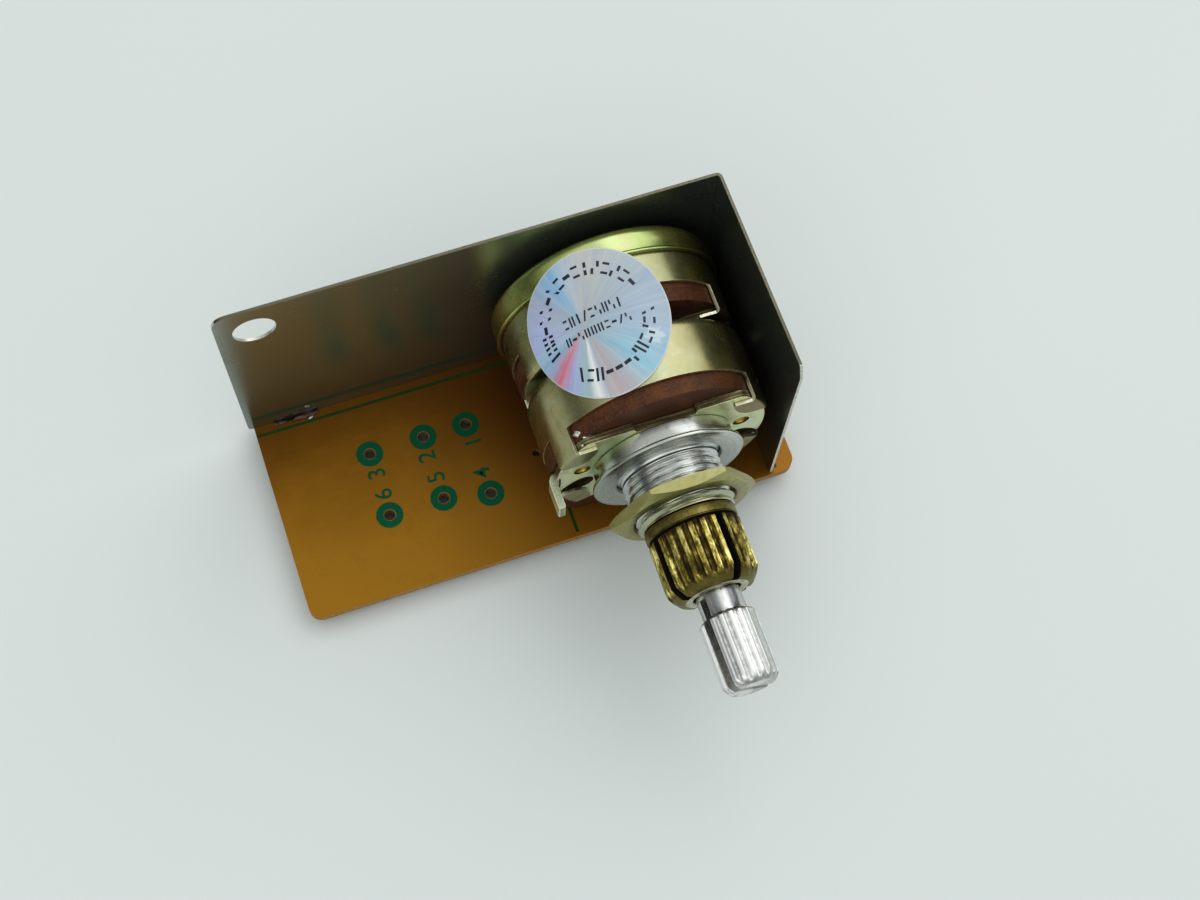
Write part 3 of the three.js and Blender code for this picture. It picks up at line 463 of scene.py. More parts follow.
def brass_material():
    """Worn brass teeth: bright on the crests, brown grime in the grooves."""
    mat = Paint("sleeve_brass")
    pos = mat.coords()
    radius, angle, y = mat.polar()
    wrapped = mat.join(angle * 4.4, y * 0.34, radius)
    blotch = wrapped.noise(1.15, detail=4, rough=0.72, warp=1.1)
    fine = pos.stretch(1.0, 0.42, 1.0).noise(3.0, detail=4, rough=0.70)
    big = pos.noise(0.32, detail=2, rough=0.5, warp=0.4)
    wear = radius.remap(4.20, 4.56, to=(0.32, 0.84)) + (blotch - 0.54) * 2.6
    wear = wear + (big - 0.5) * 1.3
    wear = (wear + (fine - 0.5) * 1.5).clamped()
    ends = y.remap(WALL_Y - 29.9, WALL_Y - 29.3, to=(0.0, 0.55)).maximum(
        y.remap(WALL_Y - 34.3, WALL_Y - 35.2, to=(0.0, 0.08)))
    # the nose is turned down below the teeth, and rubbed like their crests
    wear = wear.maximum(y.remap(WALL_Y - 34.6, WALL_Y - 35.2, to=(0.0, 0.62))
                        * blotch.rise(0.30, 0.60, low=0.45))
    wear = (wear - ends).clamped()
    color = wear.ramp((0.0, (0.040, 0.024, 0.009)), (0.25, (0.090, 0.062, 0.018)),
                      (0.50, (0.215, 0.172, 0.042)), (0.78, (0.46, 0.385, 0.11)),
                      (1.0, (0.80, 0.72, 0.30)))
    rust = pos.noise(0.8, rough=0.6).rise(0.60, 0.74, high=0.5)
    color = color.toward((0.24, 0.15, 0.05), rust)
    # the last of the teeth is dull olive
    nose = y.remap(WALL_Y - 34.6, WALL_Y - 35.4, to=(0.0, 0.60))
    color = color.toward((0.215, 0.185, 0.060), nose)
    return mat.finish(color=color, metal=wear.remap(0.0, 0.5, to=(0.5, 1.0)),
                      rough=wear.remap(0.0, 1.0, to=(0.6, 0.24)),
                      normal=(fine + blotch * 0.8).bump(strength=0.7, depth=0.06))


def collar_material():
    mat = Paint("collar_brass")
    pos = mat.coords()
    radius, angle, y = mat.polar()
    ring = mat.join(0.0, y, radius).noise(5.0, rough=0.6)
    blotch = pos.noise(0.9, detail=4, rough=0.7, warp=0.5)
    color = mat.mix(blotch.rise(0.38, 0.66), (0.26, 0.225, 0.080), (0.145, 0.120, 0.040))
    grime = pos.noise(2.6, detail=4, rough=0.7).rise(0.52, 0.70, high=0.7)
    color = color.toward((0.07, 0.052, 0.025), grime)
    return mat.finish(color=color, metal=0.95, rough=ring.remap(0.3, 0.7, to=(0.28, 0.44)),
                      normal=ring.bump(strength=0.25, depth=0.03))


# painted reflections and highlights round the shaft's plain neck, against turn
NECK_PAINTED_REFLECTIONS = (
    (0.0, (0.5, 0.5, 0.5)), (0.27, (0.50, 0.51, 0.50)), (0.335, (1.0, 1.0, 1.0)),
    (0.375, (0.92, 0.92, 0.92)), (0.42, (0.30, 0.31, 0.31)), (0.455, (0.42, 0.42, 0.42)),
    (0.485, (1.0, 1.0, 1.0)), (0.51, (0.90, 0.90, 0.90)), (0.548, (0.22, 0.23, 0.26)),
    (0.58, (0.30, 0.31, 0.32)), (0.62, (0.72, 0.73, 0.72)), (0.70, (0.52, 0.53, 0.52)),
    (1.0, (0.5, 0.5, 0.5)))


def shaft_material():
    mat = Paint("shaft_aluminium")
    pos = mat.coords()
    radius, angle, y = mat.polar()
    drawing = mat.join(angle * 8.0, y * 0.5, radius).noise(2.0, rough=0.6)
    pits = pos.cells(1.55).rise(0.06, 0.15, high=0.0, low=1.0)
    neck = y > WALL_Y - 38.05                       # behind the teeth
    grime = pos.noise(1.6, detail=5, rough=0.72)
    root = radius.remap(2.45, 2.72, to=(0.9, 0.0)) * (1.0 - neck * 0.75)
    color = mat.mix(drawing.rise(0.3, 0.75), (0.92, 0.93, 0.91), (0.84, 0.85, 0.84))
    color = color.toward((0.20, 0.18, 0.14), root * grime.rise(0.40, 0.62) * 0.65)
    color = color.toward((0.06, 0.055, 0.045), pits * grime.rise(0.50, 0.6, high=0.9))
    # painted shade inside the screwdriver slot, darkest at its back and paler towards its mouth
    deep = radius.remap(1.2, 2.2, to=(1.0, 0.0))
    forward = y.remap(WALL_Y - 36.8, WALL_Y - 42.5)
    inside = mat.mix(forward, (0.16, 0.105, 0.070), (0.85, 0.83, 0.79))
    color = color.toward(inside, deep * 0.85)
    # painted shade where it enters the sleeve
    color = color.toward((0.015, 0.013, 0.010), y.remap(WALL_Y - 35.68, WALL_Y - 35.5, to=(0.0, 0.95)))
    # painted reflections on the plain neck
    painted_bands = mat.mix(1.0, color, as_turn(angle).ramp(*NECK_PAINTED_REFLECTIONS), "MULTIPLY")
    color = color.toward(painted_bands, neck)
    # painted shade down the right-hand flank of the teeth, broken up by the grime noise
    flank_shade = angle.remap(0.35, 0.95, to=(0.0, 0.72)) * (1.0 - neck)
    color = color.toward((0.40, 0.42, 0.39), flank_shade * grime.rise(0.30, 0.60, low=0.55))
    return mat.finish(color=color, metal=1.0 - deep * 0.75,
                      rough=grime.remap(0.3, 0.7, to=(0.27, 0.42)) - neck * 0.10,
                      normal=(drawing + grime * 0.7 * (1.0 - neck)).bump(strength=0.2, depth=0.02))


# foil seal: angle of its centre round the drum in degrees, its Y, and its size in mm
SEAL_ANGLE, SEAL_Y, SEAL_R, SEAL_T = -18.8, -9.8, 7.5, 0.06
# colours round the foil against turn: a red glint at the left, blues and greys round the rest
SEAL_RAINBOW = (
    (0.00, (0.50, 0.70, 0.90)), (0.06, (0.40, 0.60, 0.85)), (0.11, (0.85, 0.20, 0.27)),
    (0.15, (0.50, 0.55, 0.90)), (0.20, (0.42, 0.60, 0.66)), (0.28, (0.57, 0.46, 0.47)),
    (0.35, (0.32, 0.60, 0.74)), (0.45, (0.40, 0.52, 0.66)), (0.60, (0.44, 0.51, 0.57)),
    (0.70, (0.58, 0.57, 0.54)), (0.78, (0.26, 0.54, 0.82)), (0.86, (0.50, 0.55, 0.72)),
    (0.95, (0.54, 0.62, 0.95)))


def seal_material():
    """Diffractive foil, coloured by angle about its own hub."""
    mat = Paint("seal_foil")
    attribute = mat.node("ShaderNodeAttribute", attribute_name="seal_uv").outputs["Vector"]
    across, along, outward = Signal(mat, attribute).split()
    flat = mat.join(across, along, 0.0)                 # mm about the seal's centre
    from_hub = flat.vector("SUBTRACT", (-1.15, 0.05, 0.0))
    hub_x, hub_y, _ = from_hub.split()
    radius = from_hub.vector("LENGTH")
    turn = as_turn(hub_y.arctan2(hub_x))                # 0 at the left, 0.25 at the front
    warp = flat.stretch(0.5, 0.5, 0.5).noise(0.9, detail=2, rough=0.5, warp=0.2)
    rainbow = (turn + (warp - 0.5) * 0.03).ramp(*SEAL_RAINBOW)
    cloud = flat.noise(0.5, rough=0.6, warp=0.8)
    pale = (radius.remap(0.4, 5.0, to=(0.70, 0.0)) + (cloud - 0.5) * 0.8).clamped()
    color = rainbow.toward((0.440, 0.520, 0.560), pale)

    # painted highlights: a bright streak from the hub to the front edge, a fainter one to the back
    def streak(at, width, gain):
        return (abs(turn - at) / width).ramp((0.0, 1.0), (0.35, 0.75), (1.0, 0.0)) * gain

    off_hub = radius.remap(0.5, 2.0)
    color = color.toward((0.96, 0.98, 0.98), streak(at=0.229, width=0.022, gain=1.0) * off_hub)
    color = color.toward((0.80, 0.76, 0.78), streak(at=0.742, width=0.05, gain=0.28) * off_hub)
    # a pale ragged patch at the front right
    apart = flat.vector("SUBTRACT", (4.9, -3.4, 0.0)).vector("LENGTH")
    apart = apart + (flat.noise(1.6, rough=0.6) - 0.5) * 2.6
    color = color.toward((0.74, 0.86, 0.88), apart.rise(0.6, 1.0, high=0.0, low=0.55))
    # micro-engraving: very fine rays, then broader blue ones
    rays = mat.join(turn * 70.0, 0.0, 0.0).noise(1.0, rough=0.7)
    color = color.toward((0.86, 0.88, 0.92), rays.rise(0.45, 0.75) * 0.24)
    rays = mat.join(turn * 26.0, 3.0, radius * 0.15).noise(1.0, detail=2, rough=0.6)
    color = color.toward((0.24, 0.36, 0.62), rays.rise(0.50, 0.70) * 0.30)
    # painted highlight along the rim
    rim = (outward * SEAL_R).remap(SEAL_R - 0.20, SEAL_R - 0.08, to=(0.0, 0.8))
    color = color.toward((0.66, 0.67, 0.67), rim)
    return mat.finish(color=color, metal=0.06, rough=0.50, coat=0.10, coat_rough=0.25, spec=0.3,
                      normal=flat.noise(0.9).bump(strength=0.04, depth=0.04))


def floor_material():
    mat = Paint("floor_paint")
    pos = mat.coords()
    big = pos.noise(0.006, rough=0.5)
    fine = pos.noise(1.5)
    color = mat.mix(big.rise(0.3, 0.7), (0.795, 0.838, 0.835), (0.775, 0.822, 0.820))
    color = color.toward((0.6, 0.63, 0.62), fine * 0.04)
    speck = pos.cells(0.035).rise(0.006, 0.012, high=0.0, low=1.0)
    color = color.toward((0.45, 0.45, 0.42), speck * 0.35)
    return mat.finish(color=color, rough=0.62, spec=0.25)


SHIELD = shield_material()
EDGE = cut_edge("cut_edge", (0.74, 0.73, 0.66))
BOARD, BOARD_EDGE, SILK = board_material(), board_edge_material(), silk_material()
PAD = mottled("pad_copper", (0.18, 0.10, 0.05), (0.33, 0.24, 0.16), scale=2.5, detail=3, grain=0.6,
              rough=0.5, metal=0.4, bump=0.3)
COVER = chromate("cover_chromate", gold=(0.72, 0.60, 0.23), green=(0.54, 0.65, 0.30),
                 silver=(0.66, 0.57, 0.41), rough=(0.18, 0.28), tint=0.45, painted_shading=True)
CAN = chromate("can_chromate", gold=(0.56, 0.505, 0.30), green=(0.505, 0.515, 0.335),
               silver=(0.61, 0.575, 0.465), rough=(0.19, 0.29), scratched=True, painted_shading=True)
PLATE = chromate("plate_chromate", gold=(0.80, 0.84, 0.48), green=(0.72, 0.88, 0.58),
                 silver=(0.82, 0.79, 0.70), rough=(0.30, 0.44), tint=0.8)
SHEARED = sheared_material()
LUG_CUT = cut_edge("lug_cut", (0.50, 0.53, 0.38))
# bare steel at the cut edges of cans and plates, painted paler as the highlight their rounded edges catch
STEEL_CUT_HIGHLIGHT = cut_edge("chromate_cut_highlight", (0.93, 0.90, 0.68))
WAFER = wafer_material()
ALUMINIUM = aluminium("bushing_aluminium", base=(0.80, 0.81, 0.80), rings=3.2, rough=(0.18, 0.30),
                      bump=0.06, dirt=0.30)
WASHER = aluminium("washer_aluminium", base=(0.82, 0.83, 0.80), rings=4.0, rough=(0.20, 0.32),
                   bump=0.08, dirt=0.12)
NUT, BRASS, COLLAR, SHAFT = nut_material(), brass_material(), collar_material(), shaft_material()
# painted shade, with grime, for the saw cuts and the bore of the sleeve
SAW_CUT_SHADE_GRIME = mottled("saw_cut_grime_and_shade", (0.010, 0.009, 0.007), (0.045, 0.036, 0.020), scale=3.0, grain=0.7,
                  spots=(0.4, 0.7), rough=0.65, bump=0.4, depth=0.05, spec=0.25)
# rubbed front rim of the sleeve, worn nearly silver
LIP = mottled("sleeve_lip", (0.62, 0.60, 0.48), (0.36, 0.33, 0.22), scale=2.4, grain=0.7,
              spots=(0.35, 0.65), metal=1.0, rough=(0.22, 0.42), bump=0.35, depth=0.04)
SILK_LINE = mottled("green_silk_line", (0.010, 0.060, 0.012), (0.030, 0.085, 0.012), scale=2.0,
                    grain=0.7, stretch=(0.6, 3.0, 1.0), spots=(0.35, 0.7), rough=0.5, bump=0.15,
                    depth=0.01, spec=0.25)
TOP_EDGE = cut_edge("long_wall_edge", (0.20, 0.19, 0.145))
SOLDER = mottled("solder", (0.62, 0.62, 0.60), (0.45, 0.45, 0.43), scale=1.4, grain=0.6, metal=1.0,
                 rough=(0.14, 0.36), bump=0.4, depth=0.08)
FLUX = mottled("flux_resin", (0.055, 0.016, 0.006), (0.12, 0.030, 0.012), scale=1.6, grain=0.6,
               rough=0.14, bump=0.4, depth=0.08, coat=0.6, coat_rough=0.08)
SEAL = seal_material()
INK = mottled("seal_ink", (0.010, 0.014, 0.030), (0.030, 0.035, 0.060), scale=4.0, detail=3,
              grain=0.55, rough=0.38, bump=None)

# name, first colour, second colour, metallic, roughness range
PLAIN = [
    ("carbon_track", (0.02, 0.02, 0.02), (0.05, 0.05, 0.05), 0.0, (0.4, 0.6)),
    ("silvered_ring", (0.75, 0.74, 0.70), (0.60, 0.59, 0.54), 1.0, (0.2, 0.35)),
    ("rivet_steel", (0.60, 0.60, 0.58), (0.45, 0.45, 0.43), 1.0, (0.25, 0.4)),
    ("eyelet_brass", (0.56, 0.46, 0.12), (0.30, 0.22, 0.05), 1.0, (0.22, 0.40)),
    ("tinned_strip", (0.68, 0.68, 0.66), (0.52, 0.52, 0.50), 1.0, (0.2, 0.38)),
    ("rotor_moulding", (0.70, 0.66, 0.55), (0.62, 0.58, 0.48), 0.0, (0.35, 0.5)),
    ("spring_bronze", (0.66, 0.44, 0.20), (0.50, 0.32, 0.14), 1.0, (0.2, 0.35)),
    ("clip_steel", (0.36, 0.37, 0.37), (0.24, 0.24, 0.24), 1.0, (0.3, 0.45)),
]
plain = {name: mottled(name, first, second, scale=3.0, metal=metal, rough=rough)
         for name, first, second, metal, rough in PLAIN}


def add_bevel(obj, width, degrees, segments=2):
    mod = obj.modifiers.new("edge", "BEVEL")
    mod.width = width * MM
    mod.segments = segments
    mod.limit_method = "ANGLE"
    mod.angle_limit = math.radians(degrees)
    return mod


# what each CAD piece wears, by its material slot
CAD_MATERIALS = {
    **plain, "phenolic_board": BOARD, "solder": SOLDER, "chromate_plate": PLATE,
    "aluminium_turned": ALUMINIUM, "aluminium_washer": WASHER, "aluminium_shaft": SHAFT,
    "nut_plating": NUT, "chromate_can": CAN, "phenolic_wafer": WAFER, "seal_foil": SEAL,
    "tinned_terminal": plain["tinned_strip"], "sleeve_brass": BRASS, "plated_steel": SHIELD,
}
cad_slots = {part["node"]: part["material_slot"] for part in frame["record"]["subparts"]}
for node_name, cad_object in frame["nodes"].items():
    cad_object.data.materials.clear()
    cad_object.data.materials.append(CAD_MATERIALS[cad_slots[node_name]])
    add_bevel(cad_object, 0.04, 40)


# ------------------------------------------------------------------ mesh helpers

def from_datum(point):
    """Millimetres from the datum to the frame in metres."""
    return tuple((value + start) * MM for value, start in zip(point, DATUM))


def from_axis(point):
    """As from_datum, with x and z measured from the shaft axis."""
    x, y, z = point
    return ((x + AXIS_X + DATUM.x) * MM, (y + DATUM.y) * MM, (z + AXIS_Z + DATUM.z) * MM)


def smooth_below(mesh, degrees):
    """Shade smooth, with sharp edges where faces meet at more than this angle."""
    limit = math.radians(degrees)
    for face in mesh.faces:
        face.smooth = True
    for edge in mesh.edges:
        edge.smooth = not (len(edge.link_faces) == 2 and edge.calc_face_angle(0.0) > limit)


def finish(name, mesh, mats, replaces=None, body=CHASSIS, smooth=32.0, bevel=0.0, segments=2,
           place=from_axis, bevel_mat=-1):
    """Turn a bmesh in millimetres into an object of the product."""
    for vert in mesh.verts:
        vert.co = place(vert.co)
    bmesh.ops.remove_doubles(mesh, verts=mesh.verts, dist=1e-7)
    bmesh.ops.recalc_face_normals(mesh, faces=mesh.faces)
    smooth_below(mesh, smooth)
    data = bpy.data.meshes.new(name)
    mesh.to_mesh(data)
    mesh.free()
    obj = bpy.data.objects.new(name, data)
    bpy.context.scene.collection.objects.link(obj)
    for mat in (mats if isinstance(mats, list) else [mats]):
        data.materials.append(mat)
    if bevel:
        mod = add_bevel(obj, bevel, smooth, segments)
        mod.miter_outer = "MITER_ARC"
        mod.harden_normals = True
        mod.material = bevel_mat
    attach(obj, body)
    if replaces:
        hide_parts(replaces)
    return obj


PLANES = {"XZ": lambda a, b, depth: (a, depth, b), "XY": lambda a, b, depth: (a, b, depth),
          "YZ": lambda a, b, depth: (depth, a, b)}


def prism(outline, holes, low, high, plane="XZ", side_mat=0):
    """Flat plate from a 2D outline with holes, thick along the axis that plane leaves out."""
    mesh = bmesh.new()
    put = PLANES[plane]
    loops = [outline] + list(holes)
    triangles = tessellate_polygon([[Vector((a, b, 0)) for a, b in loop] for loop in loops])
    points = [point for loop in loops for point in loop]
    lower = [mesh.verts.new(put(a, b, low)) for a, b in points]
    upper = [mesh.verts.new(put(a, b, high)) for a, b in points]
    for triangle in triangles:
        if len(set(triangle)) < 3:
            continue
        for layer in (lower, upper):
            mesh.faces.new([layer[i] for i in triangle])
    first = 0
    for loop in loops:
        count = len(loop)
        for i in range(count):
            a, b = first + i, first + (i + 1) % count
            face = mesh.faces.new((lower[a], lower[b], upper[b], upper[a]))
            face.material_index = side_mat
        first += count
    return mesh


def circle(x, y, radius, count=48):
    return [(x + radius * math.cos(TURN * i / count), y + radius * math.sin(TURN * i / count))
            for i in range(count)]


def polar(radius, degrees):
    """(x, z) at an angle from the top towards +X."""
    angle = math.radians(degrees)
    return (radius * math.sin(angle), radius * math.cos(angle))


def on_ring(radius, y, degrees):
    x, z = polar(radius, degrees)
    return (x, y, z)


def arc(radius, start, end, step=3.0):
    count = max(1, round(abs(end - start) / step))
    return [polar(radius, start + (end - start) * i / count) for i in range(count + 1)]


def mirrored(points):
    return [(-x, z) for x, z in reversed(points)]


def rounded(corners, steps):
    """Polygon from (x, y, radius) corners."""
    out = []
    for i, (x, y, radius) in enumerate(corners):
        before, after = corners[i - 1], corners[(i + 1) % len(corners)]
        side_a = Vector((before[0] - x, before[1] - y)).normalized()
        side_b = Vector((after[0] - x, after[1] - y)).normalized()
        half = math.acos(max(-1, min(1, side_a.dot(side_b)))) / 2
        reach = radius / math.tan(half)
        centre = (side_a + side_b).normalized() * (radius / math.sin(half))
        start, end = side_a * reach - centre, side_b * reach - centre
        angle = math.atan2(start.y, start.x)
        sweep = math.atan2(end.y, end.x) - angle
        while sweep > math.pi:
            sweep -= TURN
        while sweep < -math.pi:
            sweep += TURN
        for k in range(steps + 1):
            at = angle + sweep * k / steps
            out.append((x + centre.x + radius * math.cos(at), y + centre.y + radius * math.sin(at)))
    return out


def spline(before, start, end, after, t):
    """Catmull-Rom value between start and end."""
    return 0.5 * (2 * start + (end - before) * t + (2 * before - 5 * start + 4 * end - after) * t * t
                  + (3 * start - before - 3 * end + after) * t ** 3)


def loft(mesh, rows, closed=True):
    """Skin rows of vertices, each row a ring; closed joins the last row to the first."""
    for row, following in zip(rows, rows[1:] + (rows[:1] if closed else [])):
        for i in range(len(row)):
            j = (i + 1) % len(row)
            mesh.faces.new((row[i], row[j], following[j], following[i]))


def revolve(profile, count, put):
    """Revolve a closed (radius, height) profile; put(radius, height, angle) places each point."""
    mesh = bmesh.new()
    loft(mesh, [[mesh.verts.new(put(radius, height, TURN * i / count)) for i in range(count)]
                for radius, height in profile])
    return mesh


def lathe(profile, count=96):
    """Revolve (radius, y) points about the shaft axis; a profile off the axis closes on itself."""
    mesh = bmesh.new()
    rows = []
    for radius, y in profile:
        if radius < 1e-6:
            rows.append([mesh.verts.new((0, y, 0))])
        else:
            rows.append([mesh.verts.new(on_ring(radius, y, 360 * i / count)) for i in range(count)])
    pairs = list(zip(rows, rows[1:]))
    if profile[0][0] > 1e-6:
        pairs.append((rows[-1], rows[0]))
    for a, b in pairs:
        for i in range(count):
            j = (i + 1) % count
            corners = [a[i % len(a)], a[j % len(a)], b[j % len(b)], b[i % len(b)]]
            corners = list(dict.fromkeys(corners))
            if len(corners) > 2:
                mesh.faces.new(corners)
    return mesh


def skin(columns, rows, inside, outer, inner, closed=True, edge_mat=0):
    """Sheet between outer(i, j) and inner(i, j), over the cells where inside(i, j) is true."""
    mesh = bmesh.new()
    cells = columns if closed else columns - 1
    outer_verts, inner_verts = {}, {}

    def wrap(i):
        return i % columns if closed else i

    def vert(store, place, i, j):
        key = (wrap(i), j)
        if key not in store:
            store[key] = mesh.verts.new(place(*key))
        return store[key]

    def filled(i, j):
        return 0 <= j < rows - 1 and (closed or 0 <= i < cells) and inside(wrap(i), j)

    for i in range(cells):
        for j in range(rows - 1):
            if not filled(i, j):
                continue
            quad = [(i, j), (i + 1, j), (i + 1, j + 1), (i, j + 1)]
            mesh.faces.new([vert(outer_verts, outer, *corner) for corner in quad])
            mesh.faces.new([vert(inner_verts, inner, *corner) for corner in quad][::-1])
            neighbours = [(i, j - 1), (i + 1, j), (i, j + 1), (i - 1, j)]
            for a, b, neighbour in zip(quad, quad[1:] + quad[:1], neighbours):
                if not filled(*neighbour):
                    face = mesh.faces.new((vert(outer_verts, outer, *b), vert(outer_verts, outer, *a),
                                           vert(inner_verts, inner, *a), vert(inner_verts, inner, *b)))
                    face.material_index = edge_mat
    return mesh


# ------------------------------------------------------------------ shield

def build_shield():
    """One sheet, cut flat as (distance along, height) and bent round the right-hand corner."""
    thick, bend_in = 0.3, 0.3
    bend = (bend_in + bend_in + thick) / 2 * math.pi / 2       # length of the bend at mid-thickness
    bend_start = WALL_L - bend_in
    bend_end = bend_start + bend
    total = bend_end + (SIDE_L - bend_in)
    top, foot = WALL_H, 0.02
    outline = [
        (0.6, foot), (0.25, 0.12), (0.06, 0.34), (0, 0.62), (0, top - 1.5), (0.05, top - 1.15),
        (0.2, top - 0.78), (0.42, top - 0.45), (0.75, top - 0.2), (1.12, top - 0.05), (1.5, top),
        (total - 0.75, top), (total - 0.62, top - 0.06), (total - 0.1, top - 1.35),
        (total, top - 1.6), (total, foot + 0.25), (total - 0.25, foot)]
    hole = circle(3.72, 21.85, 2.1, 64)
    mesh = prism(outline, [hole], 0, thick, side_mat=1)
    for face in mesh.faces:
        centre = face.calc_center_median()
        if face.material_index == 1 and centre.z > top - 0.5 and centre.x < bend_start:
            face.material_index = 2
    # rows across the bend, and a few along the walls
    cuts = [bend_start + bend * k / 10 for k in range(11)]
    cuts += [6, 12, 18, 24, 30, 36, 42, bend_end + 7, bend_end + 14]
    for cut in cuts:
        geometry = list(mesh.verts) + list(mesh.edges) + list(mesh.faces)
        bmesh.ops.bisect_plane(mesh, geom=geometry, plane_co=(cut, 0, 0), plane_no=(1, 0, 0), dist=1e-5)
    for vert in mesh.verts:
        along, out, z = vert.co
        if along <= bend_start:
            continue
        if along <= bend_end:
            angle = (along - bend_start) / bend * math.pi / 2
            radius = bend_in + out
            vert.co = (bend_start + radius * math.sin(angle), -bend_in + radius * math.cos(angle), z)
        else:
            vert.co = (WALL_L + out, -bend_in - (along - bend_end), z)
    finish("shield_sheet", mesh, [SHIELD, EDGE, TOP_EDGE], "shield_bracket",
           bevel=0.05, smooth=30, place=from_datum)


# tabs through the board: name, plane, ends along the wall, inner face of the wall
TABS = [("shield_tab_left", "XZ", 3.0, 7.2, 0), ("shield_tab_right", "XZ", 44.4, 47.6, 0),
        ("shield_tab_side", "YZ", -15.6, -12.4, WALL_L)]


def build_tabs():
    top, tip = 0.1, -DATUM.z
    for name, plane, start, end, wall in TABS:
        outline = [(start, top), (start, tip + 0.5), (start + 0.4, tip), (end - 0.4, tip),
                   (end, tip + 0.5), (end, top)]
        mesh = prism(outline, [], wall + 0.03, wall + 0.27, plane)
        finish(name, mesh, SHIELD, bevel=0.04, place=from_datum)


# ------------------------------------------------------------------ board

# number, centre of the pad (x, y), centre of its printed digit (x, y)
PADS = [(1, 21.61, -6.51, 21.85, -8.67), (2, 16.97, -6.47, 16.8, -8.71), (3, 11.15, -6.54, 11.29, -8.86),
        (4, 21.75, -14.69, 21.68, -12.25), (5, 16.99, -13.66, 17.0, -11.2), (6, 11.17, -13.67, 11.3, -11.3)]
# rows of three terminals: gang, y; they stand a pitch apart about the axis
TERMINAL_ROWS = (("front", -17.1), ("rear", -8.1))
TERMINAL_PITCH = 5.0
SILK_LOW, SILK_HIGH = 0.004, 0.024
SILK_LINES = {
    "wall": [(BOARD_X0 + 0.02, -1.16), (AXIS_X + 6, -1.13), (AXIS_X + 6, -0.84), (BOARD_X0 + 0.02, -0.86)],
    "front": [(28.75, -21.55), (29.06, -21.55), (29.06, -17.2), (28.75, -17.2)],
    "foot": [(29.0, -17.5), (29.0, -17.2), (46.4, -17.2), (46.4, -17.5)],
    "side": [(50.75, -21.4), (51.0, -21.4), (51.0, -16.6), (50.75, -16.6)],
}


def slot_outline(x0, x1, y0, y1):
    return rounded([(x0, y0, 0.2), (x1, y0, 0.2), (x1, y1, 0.2), (x0, y1, 0.2)], 3)


def build_board():
    outline = rounded([(BOARD_X0, BOARD_Y0, 1.3), (BOARD_X1, BOARD_Y0, 1.5),
                       (BOARD_X1, BOARD_Y1, 0.5), (BOARD_X0, BOARD_Y1, 0.5)], 8)
    holes = [circle(x, y, 0.57, 24) for _, x, y, _, _ in PADS]
    holes += [circle(AXIS_X + k * TERMINAL_PITCH, y, 0.62, 16) for _, y in TERMINAL_ROWS for k in (-1, 0, 1)]
    holes += [circle(27.64, -11.9, 0.4, 16), slot_outline(2.7, 7.5, -0.3, 0.6),
              slot_outline(44.1, 47.9, -0.3, 0.6), slot_outline(49.75, 50.65, -15.9, -12.1)]
    mesh = prism(outline, holes, -BOARD_T, 0, "XY", side_mat=1)
    finish("board_panel", mesh, [BOARD, BOARD_EDGE], "circuit_board",
           bevel=0.06, smooth=40, place=from_datum)


def board_print(name, mesh, mat):
    finish(name, mesh, mat, place=from_datum, smooth=50)


def build_pad_ring(number, x, y):
    ring = [(x + (1.40 + 0.02 * math.sin(5 * i + number)) * math.cos(TURN * i / 56),
             y + (1.40 + 0.02 * math.cos(3 * i + number)) * math.sin(TURN * i / 56)) for i in range(56)]
    mesh = prism(ring, [circle(x + 0.03, y, 0.66, 32)], SILK_LOW, SILK_HIGH, "XY")
    board_print(f"silk_ring_{number}", mesh, SILK)


def build_pad_lip(number, x, y):
    """Bare lip round the drilled hole, from a (radius, z) section."""
    section = [(0.54, -0.5), (0.575, -0.02), (0.60, 0.022), (0.655, 0.024), (0.665, 0.006),
               (0.60, -0.02), (0.585, -0.5)]
    mesh = bmesh.new()
    for i in range(24):
        a0, a1 = TURN * i / 24, TURN * (i + 1) / 24
        for (r0, z0), (r1, z1) in zip(section, section[1:] + section[:1]):
            mesh.faces.new([mesh.verts.new((x + r * math.cos(a), y + r * math.sin(a), z))
                            for r, a, z in ((r0, a0, z0), (r0, a1, z0), (r1, a1, z1), (r1, a0, z1))])
    board_print(f"pad_lip_{number}", mesh, PAD)


def build_digit(number, x, y):
    """Pin number, its top towards -X."""
    text = bpy.data.curves.new(f"digit_{number}", "FONT")
    text.body = str(number)
    text.size = 2.55
    text.align_x = "CENTER"
    text.align_y = "CENTER"
    text.extrude = 0.01
    text.offset = 0.012
    text.resolution_u = 4
    carrier = bpy.data.objects.new("tmp", text)
    bpy.context.scene.collection.objects.link(carrier)
    graph = bpy.context.evaluated_depsgraph_get()
    data = bpy.data.meshes.new_from_object(carrier.evaluated_get(graph))
    bpy.data.objects.remove(carrier)
    bpy.data.curves.remove(text)
    mesh = bmesh.new()
    mesh.from_mesh(data)
    bpy.data.meshes.remove(data)
    for vert in mesh.verts:
        across, up, out = vert.co
        vert.co = (x - up, y + across, 0.014 + out)
    board_print(f"silk_digit_{number}", mesh, SILK)


def build_silk():
    for number, x, y, _, _ in PADS:
        build_pad_ring(number, x, y)
        build_pad_lip(number, x, y)
    for number, _, _, x, y in PADS:
        build_digit(number, x, y)
    for name, outline in SILK_LINES.items():
        board_print(f"silk_line_{name}", prism(outline, [], SILK_LOW, SILK_HIGH, "XY"), SILK_LINE)


